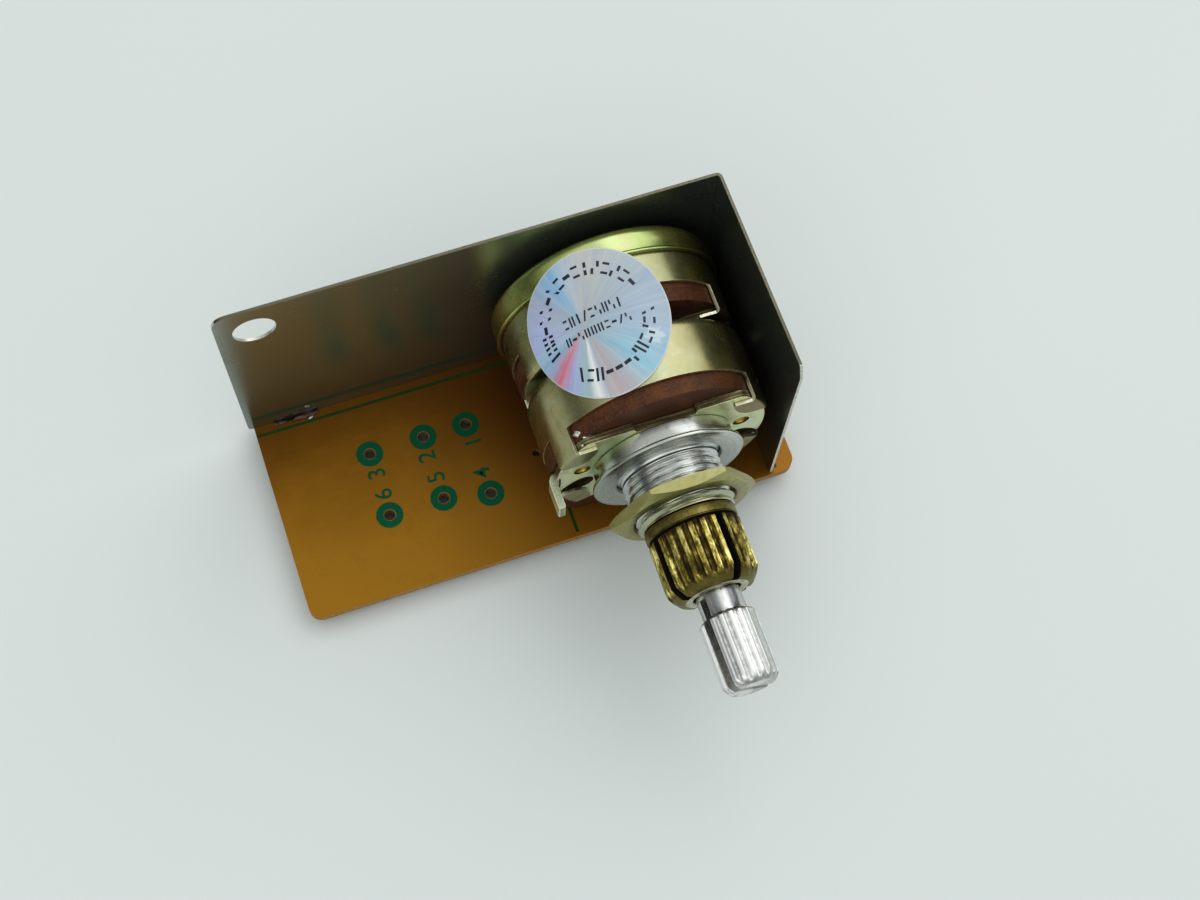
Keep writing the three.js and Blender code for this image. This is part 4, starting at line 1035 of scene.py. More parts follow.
def build_solder_joints():
    """Under the board: a concave fillet round each terminal tail, on a copper pad."""
    base, height = -BOARD_T - 0.02, 1.03
    section = [(0.54, base)]
    section += [(0.56 + 0.59 * (1 - i / 8) ** 2.2, base - height * (i / 8)) for i in range(9)]
    section += [(0.54, base - height)]
    for gang, y in TERMINAL_ROWS:
        for k in (-1, 0, 1):
            x = AXIS_X + TERMINAL_PITCH * k
            mesh = revolve(section, 28, lambda radius, z, angle: (
                x + radius * math.cos(angle), y + radius * math.sin(angle), z))
            finish(f"solder_fillet_{gang}_{k + 2}", mesh, SOLDER, f"{gang}_solder_{k + 2}",
                   place=from_datum, smooth=60)
            mesh = prism(circle(x, y, 1.6, 32), [circle(x, y, 0.66, 20)],
                         -BOARD_T - 0.018, -BOARD_T - 0.002, "XY")
            board_print(f"copper_pad_{gang}_{k + 2}", mesh, PAD)


# name, centre, half-sizes, material, seed, placing
DROPS = [
    # where the left tab meets the board
    ("flux_blob_a", (6.0, -0.30, 0.0), (1.30, 0.30, 0.26), FLUX, 3, from_datum),
    ("flux_blob_b", (3.5, -0.22, 0.0), (0.55, 0.20, 0.12), FLUX, 5, from_datum),
    ("solder_speck", (6.5, -0.66, 0.02), (0.30, 0.16, 0.14), SOLDER, 9, from_datum),
    # on the rim of the front wafer beside the left leg; a bright bead stands in for the glint on the corner of
    # the plate
    ("rim_speck_a", (-8.30, -18.62, 6.75), (0.42, 0.36, 0.36), SOLDER, 11, from_axis),
    ("plate_corner_glint", (-8.32, -20.02, 7.24), (0.14, 0.14, 0.14), SOLDER, 12, from_axis),
]


def build_drop(name, centre, size, mat, seed, place):
    """An irregular drop lying on a surface: a lumpy half dome."""
    rnd = random.Random(seed)
    mesh = bmesh.new()
    bmesh.ops.create_icosphere(mesh, subdivisions=4, radius=1.0)
    phase = [rnd.uniform(0, 6.28) for _ in range(6)]
    for vert in mesh.verts:
        x, y, z = vert.co.normalized()
        lump = (1 + 0.16 * math.sin(3 * x + phase[0]) * math.cos(2 * y + phase[1])
                + 0.10 * math.sin(5 * x + 4 * y + phase[2]) + 0.05 * math.sin(9 * y + 7 * x + phase[3]))
        height = z * lump * size[2]
        vert.co = (centre[0] + x * lump * size[0], centre[1] + y * lump * size[1],
                   centre[2] + (height if height > 0 else height * 0.15))
    finish(name, mesh, mat, place=place, smooth=80)


def build_drops():
    for drop in DROPS:
        build_drop(*drop)
    sliver = [(-8.05, 7.30), (-7.05, 7.10), (-7.00, 7.20), (-8.02, 7.42)]
    finish("rim_sliver", prism(sliver, [], -19.42, -19.28), plain["tinned_strip"], bevel=0.03)


EAR_X, EAR_Z = 8.2, 1.05          # eyelets in the front plate, from the shaft axis


def build_eyelets():
    section = [(0.80, -19.62), (0.82, -20.02), (0.70, -20.04), (0.62, -19.86), (0.34, -19.74), (0.30, -19.60)]
    for side, name in ((-1, "left"), (1, "right")):
        mesh = revolve(section, 28, lambda radius, y, angle: (
            side * EAR_X + radius * math.cos(angle), y, EAR_Z + radius * math.sin(angle)))
        finish(f"ear_eyelet_{name}", mesh, plain["eyelet_brass"], smooth=40)


# ------------------------------------------------------------------ control: drawn cans

CAN_R, CAN_T, DISC_R = 11.2, 0.35, 10.75
FOLD_R = 0.45                     # outer radius where a leg folds inwards
LEG_A, LEG_B = 54.0, 71.0         # degrees from the top to the sides of the upper right leg
LEGS = [(LEG_A, LEG_B), (-LEG_B, -LEG_A), (180 - LEG_B, 180 - LEG_A), (LEG_A - 180, LEG_B - 180)]


def wrapped(angle):
    return (angle + 180) % 360 - 180


def can_angles():
    """Column angles: every 3 degrees, with finer columns that hit the sides of the legs."""
    angles = {float(angle) for angle in range(-180, 180, 3)}
    for a, b in LEGS:
        angles = {t for t in angles if not (0 < abs(t - a) < 1.2 or 0 < abs(t - b) < 1.2)} | {a, b}
        angles |= {a + (b - a) * k / 10 for k in range(11)}
    return sorted(t for t in angles if -180 <= t < 180)


def leg_tip(angle):
    """(radius, degrees) of a folded leg's end: sides nearly parallel, end rounded."""
    angle = wrapped(angle)
    for a, b in LEGS:
        if a - 1e-6 <= angle <= b + 1e-6:
            middle = (a + b) / 2
            across = (angle - middle) / ((b - a) / 2)
            swing = (-5.0 if abs(middle) < 90 else 1.0) * (1 if middle > 0 else -1)
            return (8.75 + 0.95 * (1 - math.sqrt(max(0.0, 1 - 0.93 * across * across))),
                    middle + swing + 10.0 * across)
    return 10.0, angle


def build_can(name, node, back, edges, wall_end):
    """A can whose wall stops at its windows while four legs run on and fold inwards.

    back: (outer, inner) pairs of (radius, y) up to the straight wall. edges: y where the wall ends at the
    top, the sides and the bottom. wall_end: y of the legs' outer face.
    """
    edge_top, edge_side, edge_bottom = edges
    angles = can_angles()
    following = angles[1:] + [angles[0] + 360]
    middles = [(a + b) / 2 for a, b in zip(angles, following)]
    rows = list(back)
    start = back[-1][0][1]
    fold = wall_end + FOLD_R
    stations = {*edges, fold} | {start + (fold - start) * k / 6 for k in range(1, 6)}
    rows += [((CAN_R, y), (CAN_R - CAN_T, y)) for y in sorted(stations, reverse=True) if y < start - 1e-6]
    wall_rows = len(rows)
    for k in range(1, 6):
        bend = math.radians(18 * k)
        rows.append(tuple((CAN_R - FOLD_R + radius * math.cos(bend), fold - radius * math.sin(bend))
                          for radius in (FOLD_R, FOLD_R - CAN_T)))
    # the folded part: ("tab", share of the way to the tip, y)
    rows += [(("tab", k / 5, wall_end), ("tab", k / 5, wall_end + CAN_T)) for k in range(1, 6)]

    def inside(i, j):
        angle = wrapped(middles[i])
        if any(a < angle < b for a, b in LEGS):
            return True
        if j + 1 >= wall_rows:
            return False
        angle = abs(angle)
        end = edge_top if angle < LEG_A else edge_side if LEG_B < angle < 180 - LEG_B else edge_bottom
        return rows[j + 1][0][1] >= end - 1e-6

    def place(station, angle):
        if station[0] != "tab":
            return on_ring(*station, angle)
        _, share, y = station
        x0, z0 = polar(CAN_R - FOLD_R, angle)
        x1, z1 = polar(*leg_tip(angle))
        return (x0 + (x1 - x0) * share, y, z0 + (z1 - z0) * share)

    mesh = skin(len(angles), len(rows), inside, lambda i, j: place(rows[j][0], angles[i]),
                lambda i, j: place(rows[j][1], angles[i]), edge_mat=1)
    finish(name, mesh, [CAN, STEEL_CUT_HIGHLIGHT], node, bevel=0.11, segments=3, smooth=38,
           bevel_mat=1)


def shoulder(y):
    """Flat back of the front can and the rounded corner into its wall."""
    corner, steps = 1.2, 8
    rows = [((radius, y), (radius, y - CAN_T)) for radius in (3.0, 5.0, 7.5, CAN_R - corner)]
    for k in range(1, steps + 1):
        angle = math.radians(90 - 90 * k / steps)
        rows.append(tuple((CAN_R - corner + radius * math.cos(angle), y - corner + radius * math.sin(angle))
                          for radius in (corner, corner - CAN_T)))
    return rows


def build_cover():
    """Rear cover: a shallow drawn cap with a slightly rolled lip."""
    radius, wall, back, corner = 11.6, 0.35, -1.25, 1.2

    def quarter(size, degrees):
        return [(radius - corner + size * math.cos(math.radians(a)),
                 back - corner + size * math.sin(math.radians(a))) for a in degrees]

    profile = [(0.0, back), (3.0, back), (6.0, back), (9.0, back)]
    profile += quarter(corner, range(90, -1, -9))
    profile += [(radius, -3.2), (radius, -4.02), (radius + 0.03, -4.12), (radius + 0.085, -4.2),
                (radius + 0.1, -4.3), (radius + 0.07, -4.4), (radius, -4.45),
                (radius - wall + 0.05, -4.45), (radius - wall, -4.4)]
    profile += quarter(corner - wall, range(0, 91, 9))
    profile += [(6.0, back - wall), (0.0, back - wall)]
    finish("rear_cover_shell", lathe(profile, 144), COVER, "rear_cover", smooth=50)


def build_cans():
    build_can("front_can_shell", "front_can", shoulder(-11.5), (-17.6, -17.25, -16.4), wall_end=-20.52)
    build_can("rear_can_shell", "rear_can",
              [((CAN_R, y), (CAN_R - CAN_T, y)) for y in (-2.5, -4.0)], (-7.75, -7.75, -7.3), wall_end=-10.75)
    build_cover()


# ------------------------------------------------------------------ control: plates and wafers

# (x, z) of the hollow in the front plate's right edge; the left edge mirrors it
RELIEF = [(9.6, -1.9), (8.7, -1.25), (7.9, -1.08), (7.2, -1.45), (6.95, -2.3), (7.3, -3.1), (8.2, -3.62),
          (9.3, -3.5)]
# (x, z below the chord) of the notch in the front plate's top edge
NOTCH = [(-3.25, 0), (-3.1, 0.1), (-2.9, 0.62), (-2.7, 0.75), (2.75, 0.75), (2.95, 0.62), (3.1, 0.1), (3.25, 0)]


def plate_outline(chord, front=False):
    """A disc cut off by a chord at the top and another at the bottom."""
    start = math.degrees(math.acos(chord / DISC_R))
    end = 180 - math.degrees(math.acos(7.0 / DISC_R))
    right = arc(DISC_R, start + 1.2, end - 1.0)
    if front:
        upper = 90 + math.degrees(math.asin(2.8 / DISC_R))
        lower = 90 + math.degrees(math.asin(3.4 / DISC_R))
        points = [polar(DISC_R, upper)] + RELIEF + [polar(DISC_R, lower)]
        curve = []
        for i in range(len(points) - 1):
            near = [points[min(len(points) - 1, max(0, i + k))] for k in (-1, 0, 1, 2)]
            curve += [tuple(spline(*[point[axis] for point in near], k / 4) for axis in (0, 1))
                      for k in range(4)]
        right = arc(DISC_R, start + 1.2, upper - 1.5) + curve + arc(DISC_R, lower, end - 1.0)
    corner = polar(DISC_R, start)[0] - 0.28
    notch = [(x, chord - drop) for x, drop in NOTCH] if front else []
    return right + mirrored(right) + [(-corner, chord)] + notch + [(corner, chord)]


def build_lug():
    """A strip that leaves the front plate's left edge and turns forward through a small radius."""
    bend_in, thick = 0.25, 0.8
    x, y = -11.6 + bend_in + thick, -19.35 - bend_in - thick
    path = [((-10.3, -19.35), (-10.3, -20.15))]            # (outer, inner) pairs of (x, y)
    for k in range(9):
        angle = math.radians(90 + 90 * k / 8)
        path.append(tuple((x + radius * math.cos(angle), y + radius * math.sin(angle))
                          for radius in (bend_in + thick, bend_in)))
    path += [((-11.6, -21.6), (-10.8, -21.6)), ((-11.6, -22.9), (-10.8, -22.9)),
             ((-11.5, -23.1), (-10.9, -23.1))]
    heights = [-1.7, -1.4, 0.4, 0.7]
    mesh = skin(len(path), len(heights), lambda i, j: True, lambda i, j: (*path[i][0], heights[j]),
                lambda i, j: (*path[i][1], heights[j]), closed=False, edge_mat=1)
    finish("locating_lug", mesh, [PLATE, LUG_CUT, STEEL_CUT_HIGHLIGHT], bevel=0.08, smooth=35,
           bevel_mat=2)


def build_plates():
    mats = [PLATE, SHEARED, STEEL_CUT_HIGHLIGHT]
    holes = [circle(0, 0, 4.56, 64), circle(EAR_X, EAR_Z, 0.85, 28), circle(-EAR_X, EAR_Z, 0.85, 28)]
    mesh = prism(plate_outline(7.3, front=True), holes, -20.15, -19.35, side_mat=1)
    finish("front_plate_sheet", mesh, mats, "front_plate", bevel=0.12, segments=3,
           smooth=35, bevel_mat=2)
    build_lug()
    holes = [circle(0, 0, 2.55, 48), circle(-6.6, -2.5, 0.86, 20), circle(6.6, -2.5, 0.86, 20)]
    mesh = prism(plate_outline(5.6), holes, -10.38, -9.72, side_mat=1)
    finish("middle_plate_sheet", mesh, mats, "middle_plate", bevel=0.06, smooth=35,
           bevel_mat=2)


def build_wafers():
    neck, foot, half = -6.95, -11.7, 9.6
    end = math.degrees(math.acos(neck / DISC_R))
    right = arc(DISC_R, 0, 73) + arc(11.14, 74.5, 106.0) + arc(DISC_R, 107.5, end)
    outline = mirrored(right) + right[1:] + rounded(
        [(half, neck, 0.4), (half, foot, 2.0), (-half, foot, 2.0), (-half, neck, 0.4)], 5)
    for gang, hole, front, back in (("front", 5.65, -19.3, -17.3), ("rear", 3.4, -9.7, -8.3)):
        mesh = prism(outline, [circle(0, 0, hole, 48)], front, back)
        finish(f"{gang}_wafer_board", mesh, WAFER, f"{gang}_wafer", bevel=0.08,
               smooth=35)
    # raised rim on the back of the rear wafer, closing the can's window
    mesh = lathe([(9.9, -8.32), (9.9, -7.6), (10.0, -7.5), (10.7, -7.5), (10.78, -7.6), (10.78, -8.32)])
    finish("rear_wafer_rim", mesh, WAFER, smooth=35)


# ------------------------------------------------------------------ bushing, washer, nut

BORE = 3.55
# (radius, y) of the bushing behind its thread
BUSHING_BACK = [
    (BORE, -18.85), (5.2, -18.85), (5.3, -18.95), (5.3, -19.33), (4.5, -19.33), (4.5, -20.17),
    (7.0, -20.17), (7.1, -20.27), (7.1, -20.9), (7.1, -21.6), (7.06, -21.72), (6.96, -21.82),
    (6.84, -21.88), (6.0, -21.9), (5.1, -21.9), (4.8, -21.95), (4.72, -22.05)]


def build_bushing():
    pitch, crest, root, end_radius = 0.75, 5.0, 4.58, 4.62
    start, end, count = -22.35, -27.95, 96
    mesh = bmesh.new()

    def plain_rows(stations):
        return [[mesh.verts.new(on_ring(radius, y, 360 * i / count)) for i in range(count)]
                for radius, y in stations]

    def thread_radius(y, turn):
        """Single-start thread, fading in at the back and chamfered at the front."""
        phase = ((start - y) / pitch + turn) % 1.0
        groove = min(1.0, max(0.0, (abs(phase - 0.5) * 2 - 0.10) / 0.78))
        groove *= min(1.0, max(0.0, (start - y) / 0.7))
        radius = crest - (crest - root) * groove
        chamfer = 1 - min(1.0, max(0.0, (y - end) / 0.5))
        return radius - chamfer * max(0.0, radius - end_radius)

    rows = plain_rows(BUSHING_BACK)
    steps = int((start - (end + 0.05)) / pitch * 14)
    for k in range(steps + 1):
        y = start + (end + 0.05 - start) * k / steps
        rows.append([mesh.verts.new(on_ring(thread_radius(y, i / count), y, 360 * i / count))
                     for i in range(count)])
    rows += plain_rows([(4.5, end), (4.1, end), (3.75, end), (3.62, end + 0.05), (BORE, end + 0.14)])
    loft(mesh, rows)
    finish("bushing_turned", mesh, ALUMINIUM, "bushing", smooth=42)


def build_washer():
    low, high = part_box("flat_washer")
    rim = (high.x - low.x) / 2 / MM
    back, front, hole = -21.92, -22.36, 5.4
    mesh = lathe([
        (hole + 0.05, back), (rim - 0.14, back), (rim - 0.04, back - 0.06), (rim, back - 0.16),
        (rim, front + 0.1), (rim - 0.04, front + 0.03), (rim - 0.12, front), (rim - 1.1, front + 0.004),
        (hole + 0.16, front), (hole + 0.04, front + 0.03), (hole, front + 0.09), (hole, back - 0.07)], 144)
    finish("panel_washer", mesh, WASHER, "flat_washer", smooth=40)


def nut_section(degrees):
    """(radius, y) points of the nut's section, from the back of the hole round to its front."""
    across_flats, hole, back = 13.0, 5.09, -25.7
    front = back - 1.2
    off_flat = ((degrees + 30) % 60) - 30
    rim = min(across_flats / 2 / math.cos(math.radians(off_flat)), 7.49)      # corners slightly softened
    face, back_face = 6.42, 6.9                                               # where the chamfers start
    return [(hole, back - 0.22), (hole + 0.22, back), (min(back_face, rim), back),
            (rim, back - max(0.0, rim - back_face) * 0.42), (rim, front + max(0.0, rim - face) * 0.50),
            (min(face, rim), front), (hole + 0.25, front), (hole, front + 0.25)]


def build_nut():
    count = 144
    mesh = bmesh.new()
    sections = [nut_section(360 * i / count) for i in range(count)]
    loft(mesh, [[mesh.verts.new(on_ring(*section[k], 360 * i / count)) for i, section in enumerate(sections)]
                for k in range(8)])
    finish("panel_nut", mesh, NUT, "hex_nut", smooth=22, bevel=0.05)


# ------------------------------------------------------------------ turning parts

def tooth(phase, root, tip, flat, valley):
    """Rounded tooth profile over one pitch; phase runs 0..1, the crest is at 0.5."""
    off = abs(phase - 0.5) * 2
    t = min(1.0, max(0.0, (off - flat) / (1 - flat - valley)))
    return tip + (root - tip) * (t * t * (3 - 2 * t))


SLEEVE_BORE, SLEEVE_TIP, SLEEVE_ROOT = 2.55, 4.62, 4.24
SAW_ANGLE, SAW_HALF, SAW_START = 26.4, 0.42, -29.28     # first cut's angle, its half-width, its closed end
# y stations along the head, back to front
SLEEVE_Y = [-28.03, -28.13, -28.93, -28.99, -29.03, -29.14, -29.20, -29.28, -29.42, -29.62, -30.2, -31.2,
            -32.2, -33.2, -34.0, -34.35, -34.55, -34.8, -35.05, -35.28, -35.44, -35.54, -35.60, -35.64,
            -35.67, -35.69, -35.70]
# y: radius where the head is plain: the collar and groove behind the teeth, and the mouth
SLEEVE_PLAIN = {-28.03: 4.57, -28.13: 4.62, -28.93: 4.62, -28.99: 4.5, -29.03: 4.5, -29.14: 4.08,
                -35.64: 3.45, -35.67: 3.18, -35.69: 3.0, -35.70: 2.84}
SLEEVE_LIMIT = {-29.20: 4.24, -29.28: 4.46}             # y: largest radius where the teeth begin


def sleeve_radius(angle, y):
    if y in SLEEVE_PLAIN:
        return SLEEVE_PLAIN[y]
    phase = ((angle - (SAW_ANGLE + 7.5)) / 15.0 + 0.5) % 1.0      # 24 teeth
    radius = tooth(phase, SLEEVE_ROOT, SLEEVE_TIP, flat=0.36, valley=0.20)
    radius = min(radius, SLEEVE_LIMIT.get(y, radius))
    if y < -34.35:
        radius = min(radius, SLEEVE_TIP - 0.86 * ((-34.35 - y) / 1.25) ** 1.35)
    return radius


def build_sleeve_head():
    """Brass head: 24 teeth and four saw cuts with parallel sides."""
    per_quarter = 64
    outer_off = math.degrees(math.asin(SAW_HALF / 4.45))
    inner_off = math.degrees(math.asin(SAW_HALF / SLEEVE_BORE))
    # per column: outer angle, inner angle, whether a saw cut follows, the cut before it, share across
    columns = []
    for quarter in range(4):
        cut = SAW_ANGLE + 90 * quarter
        for k in range(per_quarter):
            share = k / (per_quarter - 1)
            columns.append((cut + outer_off + (90 - 2 * outer_off) * share,
                            cut + inner_off + (90 - 2 * inner_off) * share,
                            k == per_quarter - 1, cut, share))

    def outer(i, j):
        angle, _, _, cut, share = columns[i]
        radius = sleeve_radius(angle, SLEEVE_Y[j])
        off = math.degrees(math.asin(SAW_HALF / radius))
        return on_ring(radius, SLEEVE_Y[j], cut + off + (90 - 2 * off) * share)

    def inner(i, j):
        y = SLEEVE_Y[j]
        flare = 0.16 * max(0.0, (-35.4 - y) / 0.3)
        return on_ring(SLEEVE_BORE + flare, y, columns[i][1])

    mesh = skin(len(columns), len(SLEEVE_Y),
                lambda i, j: not (columns[i][2] and SLEEVE_Y[j + 1] < SAW_START - 1e-6),
                outer, inner, edge_mat=2)
    mesh.normal_update()
    # 0 teeth, 1 collar, 2 saw cuts and bore in painted shade and grime, 3 rubbed lip
    for face in mesh.faces:
        centre = face.calc_center_median()
        if face.material_index == 2:
            if abs(face.normal.y) > 0.7 and centre.y < -35:
                face.material_index = 3
        elif centre.y < -35.655:
            face.material_index = 3
        elif math.hypot(centre.x, centre.z) < 2.9:
            face.material_index = 3 if centre.y < -35.4 else 2
        elif centre.y > -29.07:
            face.material_index = 1
    finish("sleeve_head", mesh, [BRASS, COLLAR, SAW_CUT_SHADE_GRIME, LIP], "outer_sleeve",
           body=OUTER, smooth=40)


def build_sleeve():
    build_sleeve_head()
    mesh = lathe([(2.40, -35.42), (2.98, -35.42), (3.14, -35.60), (3.16, -35.68), (3.05, -35.76),
                  (2.86, -35.80), (2.66, -35.79), (2.50, -35.72), (2.40, -35.62)])
    finish("sleeve_mouth_ring", mesh, LIP, body=OUTER, smooth=60)
    # the shank runs in the bushing
    mesh = lathe([(SLEEVE_BORE, -12.15), (3.1, -12.15), (3.2, -12.25), (3.2, -12.35), (2.9, -12.36),
                  (2.9, -12.94), (3.2, -12.95), (3.2, -15.42), (3.45, -15.44), (3.45, -28.02),
                  (SLEEVE_BORE, -28.02)], 64)
    finish("sleeve_shank", mesh, COLLAR, body=OUTER, smooth=40)


NECK_R, SHAFT_TIP, SHAFT_ROOT = 2.2, 2.82, 2.5
# (y, radius) of the plain part of the shaft, back to front
SHAFT_PLAIN = [(-3.1, 1.9), (-3.15, 2.0), (-3.5, 2.0), (-3.501, 1.6), (-4.0, 1.6), (-4.001, 2.0),
               (-6.47, 2.0), (-6.471, 2.45), (-15, 2.45), (-25, 2.45), (-33.4, 2.45), (-33.6, NECK_R),
               (-35.5, NECK_R), (-35.7, NECK_R), (-37.0, NECK_R), (-37.9, NECK_R)]
# y stations of its toothed end
SHAFT_TEETH_Y = [-38.0, -38.08, -38.2, -38.34, -38.6, -39.5, -40.5, -41.5, -42.5, -43.5, -44.2, -44.5,
                 -44.75, -44.95, -45.12, -45.23, -45.3]


def shaft_tooth_radius(degrees, y):
    phase = (degrees / 20.0 + 0.5) % 1.0          # 18 teeth
    radius = tooth(phase, SHAFT_ROOT, SHAFT_TIP, flat=0.34, valley=0.22)
    if y > -38.4:
        rise = max(0.0, min(1.0, (-37.95 - y) / 0.4))
        radius = NECK_R + (radius - NECK_R) * rise
    if y < -44.4:
        radius = min(radius, SHAFT_TIP - 0.62 * ((-44.4 - y) / 0.9) ** 1.7)
    return radius


def slot_cutter():
    """Box that cuts the screwdriver slot, turned about the shaft axis."""
    width, length, height, bottom = 0.82, 11.0, 8.0, -36.1
    mesh = bmesh.new()
    bmesh.ops.create_cube(mesh, size=1.0)
    cosine, sine = math.cos(math.radians(-56)), math.sin(math.radians(-56))
    for vert in mesh.verts:
        x, y, z = vert.co.x * width, bottom - length / 2 + vert.co.y * length, vert.co.z * height
        vert.co = from_axis((x * cosine + z * sine, y, -x * sine + z * cosine))
    bmesh.ops.recalc_face_normals(mesh, faces=mesh.faces)
    data = bpy.data.meshes.new("slot_cutter")
    mesh.to_mesh(data)
    mesh.free()
    cutter = bpy.data.objects.new("slot_cutter", data)
    bpy.context.scene.collection.objects.link(cutter)
    return cutter


def subtract(target, cutter):
    mod = target.modifiers.new("cut", "BOOLEAN")
    mod.operation = "DIFFERENCE"
    mod.solver = "EXACT"
    mod.object = cutter
    graph = bpy.context.evaluated_depsgraph_get()
    graph.update()
    data = bpy.data.meshes.new_from_object(target.evaluated_get(graph))
    target.modifiers.remove(mod)
    old = target.data
    target.data = data
    bpy.data.meshes.remove(old)


def build_inner_shaft():
    count = 18 * 14
    mesh = bmesh.new()
    rows = [[mesh.verts.new(on_ring(radius, y, 360 * i / count)) for i in range(count)]
            for y, radius in SHAFT_PLAIN]
    rows += [[mesh.verts.new(on_ring(shaft_tooth_radius(360 * i / count, y), y, 360 * i / count))
              for i in range(count)] for y in SHAFT_TEETH_Y]
    loft(mesh, rows, closed=False)
    mesh.faces.new(rows[0])
    mesh.faces.new(rows[-1])
    shaft = finish("inner_shaft_turned", mesh, SHAFT, "inner_shaft", body=INNER,
                   smooth=38)
    cutter = slot_cutter()
    subtract(shaft, cutter)
    bpy.data.objects.remove(cutter)
    mesh = bmesh.new()
    mesh.from_mesh(shaft.data)
    smooth_below(mesh, 38)
    mesh.to_mesh(shaft.data)
    mesh.free()


# ------------------------------------------------------------------ seal

def seal_point(across, along, off):
    """Wrap a point of the seal onto the step between cover and can; off is its height above them."""
    y = SEAL_Y + along
    t = min(1.0, max(0.0, (-y - 4.55) / 5.2))
    t = 0.35 * t + 0.65 * t * t * (3 - 2 * t)
    cover, can = 11.755, 11.245
    radius = cover + (can - cover) * t + off
    angle = math.radians(SEAL_ANGLE) + across / 11.5
    return (radius * math.sin(angle), y, radius * math.cos(angle))


# rim radius every 15 degrees; the seal sits on two steps, so its rim runs a little in and out
SEAL_OUTLINE = [7.57, 7.58, 7.49, 7.39, 7.32, 7.24, 7.17, 7.14, 7.18, 7.29, 7.49, 7.66, 7.60, 7.34, 7.16,
                7.16, 7.33, 7.63, 7.87, 7.88, 7.72, 7.52, 7.42, 7.46]


def seal_radius(angle):
    count = len(SEAL_OUTLINE)
    place = (angle / TURN * count) % count
    i = int(place)
    return spline(*[SEAL_OUTLINE[(i + k) % count] for k in (-1, 0, 1, 2)], place - i)


def build_seal_disc():
    rings, around = 22, 144
    mesh = bmesh.new()
    layer = mesh.verts.layers.float_vector.new("seal_uv")
    sides = []
    for off in (0.0, SEAL_T):
        centre = mesh.verts.new(seal_point(0, 0, off))
        centre[layer] = (0, 0, 0)
        side = [[centre]]
        for i in range(1, rings + 1):
            row = []
            for j in range(around):
                angle = TURN * j / around
                radius = seal_radius(angle) * i / rings
                across, along = radius * math.cos(angle), radius * math.sin(angle)
                vert = mesh.verts.new(seal_point(across, along, off))
                vert[layer] = (across, along, i / rings)
                row.append(vert)
            side.append(row)
        sides.append(side)
    for side in sides:
        for i in range(rings):
            a, b = side[i], side[i + 1]
            for j in range(around):
                k = (j + 1) % around
                mesh.faces.new([a[0], b[j], b[k]] if i == 0 else [a[j], b[j], b[k], a[k]])
    low, high = sides[0][-1], sides[1][-1]
    for j in range(around):
        k = (j + 1) % around
        mesh.faces.new((low[j], low[k], high[k], high[j]))
    finish("seal_disc", mesh, SEAL, "foil_seal", smooth=50)


def bar(x0, x1, y0, y1):
    return [(x0, y0), (x1, y0), (x1, y1), (x0, y1)]


# abstract marks in a unit cell about its centre, none of them a letter
MARKS = [
    [bar(-0.44, -0.16, -0.5, 0.5), bar(0.16, 0.44, -0.5, 0.5)],
    [bar(-0.42, 0.42, -0.14, 0.14)],
    [bar(-0.16, 0.16, -0.5, 0.5)],
    [bar(-0.38, 0.38, -0.46, -0.28), bar(-0.38, 0.38, 0.28, 0.46)],
    [[(-0.46, -0.5), (-0.16, -0.5), (0.46, 0.5), (0.16, 0.5)]],
    [bar(-0.44, -0.14, 0.06, 0.5), bar(0.14, 0.44, -0.5, -0.06)],
]


def print_marks(name, polygons):
    mesh = bmesh.new()
    for polygon in polygons:
        low, high = [[mesh.verts.new(seal_point(across, along, SEAL_T + off)) for across, along in polygon]
                     for off in (0.004, 0.016)]
        mesh.faces.new(low)
        mesh.faces.new(high)
        for i in range(len(polygon)):
            j = (i + 1) % len(polygon)
            mesh.faces.new((low[i], low[j], high[j], high[i]))
    finish(name, mesh, INK, smooth=50)


def build_seal_print():
    """Two arcs of short marks and two rows of them, no lettering."""
    rnd = random.Random(21)
    radius, width, height = 5.25, 0.86, 1.30
    polygons = []
    for start, end, count in ((28, 194, 17), (234, 352, 12)):
        for k in range(count):
            angle = math.radians(start + (end - start) * k / (count - 1))
            cosine, sine = math.cos(angle), math.sin(angle)
            polygons += [[((radius + y * height) * cosine - x * width * sine,
                           (radius + y * height) * sine + x * width * cosine) for x, y in shape]
                         for shape in MARKS[rnd.randrange(6)]]
    print_marks("seal_print_ring", polygons)
    pitch, width = 0.70, 0.56
    polygons = []
    for row, count, height in ((0.95, 9, 1.0), (-0.75, 10, 0.86)):
        for k in range(count):
            middle = (k - (count - 1) / 2) * pitch
            polygons += [[(middle + x * width, row + y * height) for x, y in shape]
                         for shape in MARKS[rnd.randrange(6)]]
    print_marks("seal_print_rows", polygons)


# ------------------------------------------------------------------ build everything

for build in (build_shield, build_tabs, build_board, build_silk, build_solder_joints, build_drops,
              build_eyelets, build_cans, build_plates, build_wafers, build_bushing, build_washer,
              build_nut, build_sleeve, build_inner_shaft, build_seal_disc, build_seal_print):
    build()


# ------------------------------------------------------------------ stage, light, camera (metres)

def build_floor():
    mesh = bmesh.new()
    bmesh.ops.create_grid(mesh, x_segments=8, y_segments=8, size=0.9)
    data = bpy.data.meshes.new("floor")
    mesh.to_mesh(data)
    mesh.free()
    floor = bpy.data.objects.new("floor", data)
    data.materials.append(floor_material())
    bpy.context.scene.collection.objects.link(floor)


def add_light(name, location, size, power, color):
    """Rectangular light aimed just above the middle of the floor."""
    data = bpy.data.lights.new(name, "AREA")
    data.shape = "RECTANGLE"
    data.size, data.size_y = size
    data.energy = power
    data.color = color
    light = bpy.data.objects.new(name, data)
    light.location = location
    light.rotation_mode = "QUATERNION"
    aim = Vector((0, 0, 0.01)) - Vector(location)
    light.rotation_quaternion = aim.to_track_quat("-Z", "Y")
    bpy.context.scene.collection.objects.link(light)


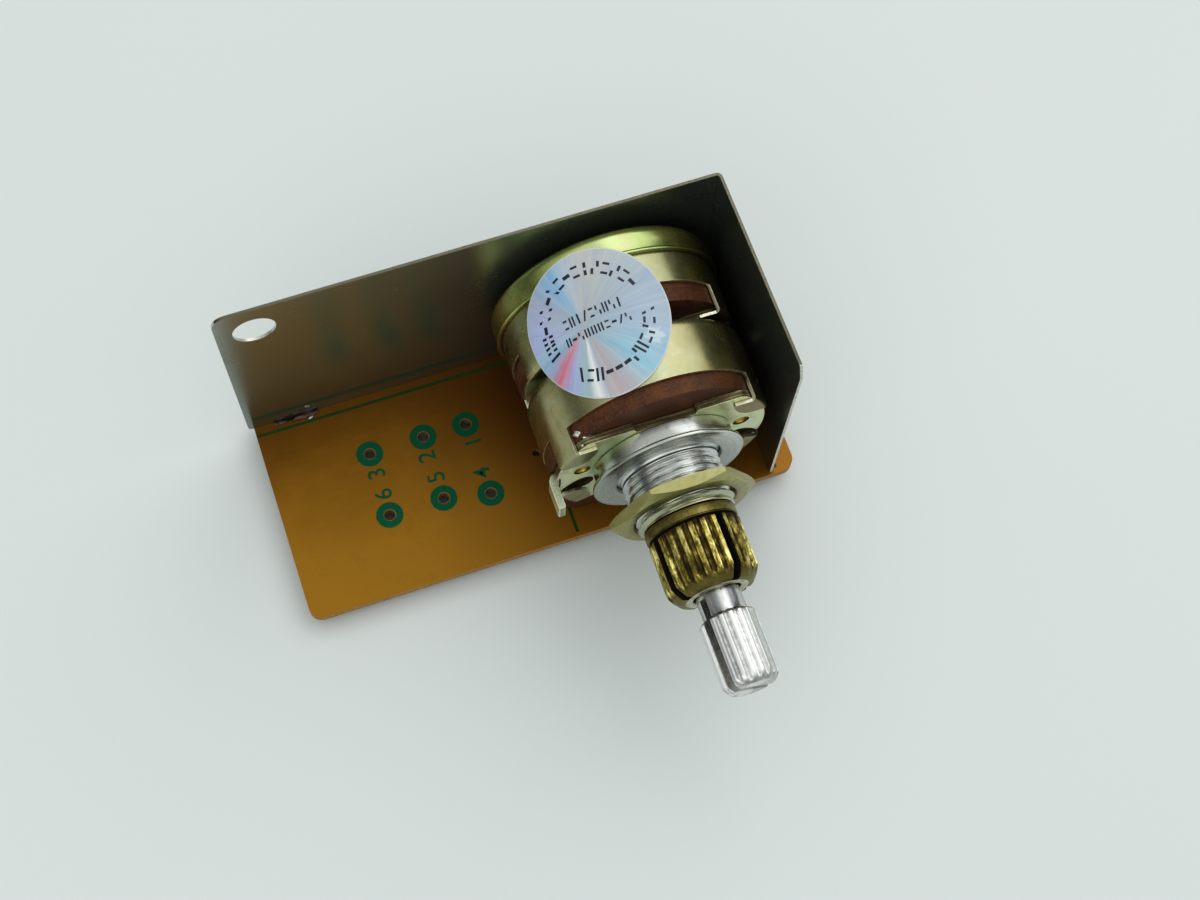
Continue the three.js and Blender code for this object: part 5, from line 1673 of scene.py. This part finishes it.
def build_world():
    world = bpy.data.worlds.new("world")
    bpy.context.scene.world = world
    tree = Tree(world)
    out = tree.node("ShaderNodeOutputWorld")
    background = tree.node("ShaderNodeBackground")
    direction = tree.source("ShaderNodeTexCoord", "Generated")
    # dim towards the horizon, bright overhead
    overhead = direction.split()[2].ramp((0.0, 0.28), (0.08, 0.15), (0.26, 0.22), (0.50, 0.54),
                                         (0.75, 0.85), (1.0, 0.91))
    # brighter towards +X
    side = direction.vector("DOT_PRODUCT", (0.85, 0.30, 0.0)).remap(-0.9, 0.9, to=(0.70, 1.25))
    level = tree.node("ShaderNodeMath", (overhead, side), operation="MULTIPLY")
    # the backdrop itself is seen plain and pale
    seen = tree.node("ShaderNodeMix", data_type="FLOAT")
    tree.feed(seen.inputs[0], tree.source("ShaderNodeLightPath", "Is Camera Ray"))
    tree.feed(seen.inputs[2], Signal(tree, level.outputs[0]))
    tree.feed(seen.inputs[3], 0.86)
    tree.feed(background.inputs[0], (0.97, 1.0, 0.985, 1))
    tree.feed(background.inputs[1], Signal(tree, seen.outputs[0]))
    tree.links.new(background.outputs[0], out.inputs[0])


# the camera's place in mm from the datum, and its axes
CAMERA_PLACE = (4.70542, -79.55303, 179.84952)
CAMERA_RIGHT = Vector((0.9435710140658317, -0.3294742984929451, 0.03347279563107665))
CAMERA_DOWN = Vector((-0.29445950186123504, -0.8809316652694636, -0.37047672381568475))
CAMERA_FORWARD = Vector((0.15154980428364606, 0.33971471525112296, -0.928238422531322))


def build_camera():
    data = bpy.data.cameras.new("camera")
    data.sensor_fit = "HORIZONTAL"
    data.sensor_width = 36.0
    data.lens = 55.497
    data.clip_start, data.clip_end = 0.01, 10.0
    camera = bpy.data.objects.new("camera", data)
    axes = Matrix((CAMERA_RIGHT, -CAMERA_DOWN, -CAMERA_FORWARD)).transposed()
    camera.matrix_world = Matrix.Translation(Vector(from_datum(CAMERA_PLACE))) @ axes.to_4x4()
    bpy.context.scene.collection.objects.link(camera)
    bpy.context.scene.camera = camera


def set_view():
    """Standard view with a gentle tone curve: deeper shadows, same highlights."""
    view = bpy.context.scene.view_settings
    view.view_transform = "Standard"
    view.look = "None"
    view.use_curve_mapping = True
    curve = view.curve_mapping.curves[3]
    for x, y in ((0.02, 0.011), (0.06, 0.043), (0.15, 0.130), (0.35, 0.345), (0.7, 0.712)):
        curve.points.new(x, y)
    view.curve_mapping.update()


build_floor()
add_light("key", location=(0.45, 0.27, 0.54), size=(0.85, 0.66), power=1.40, color=(1.0, 1.0, 0.985))
add_light("fill", location=(-0.40, -0.44, 0.54), size=(0.7, 0.55), power=0.80, color=(0.98, 1.0, 1.0))
build_world()
build_camera()
set_view()
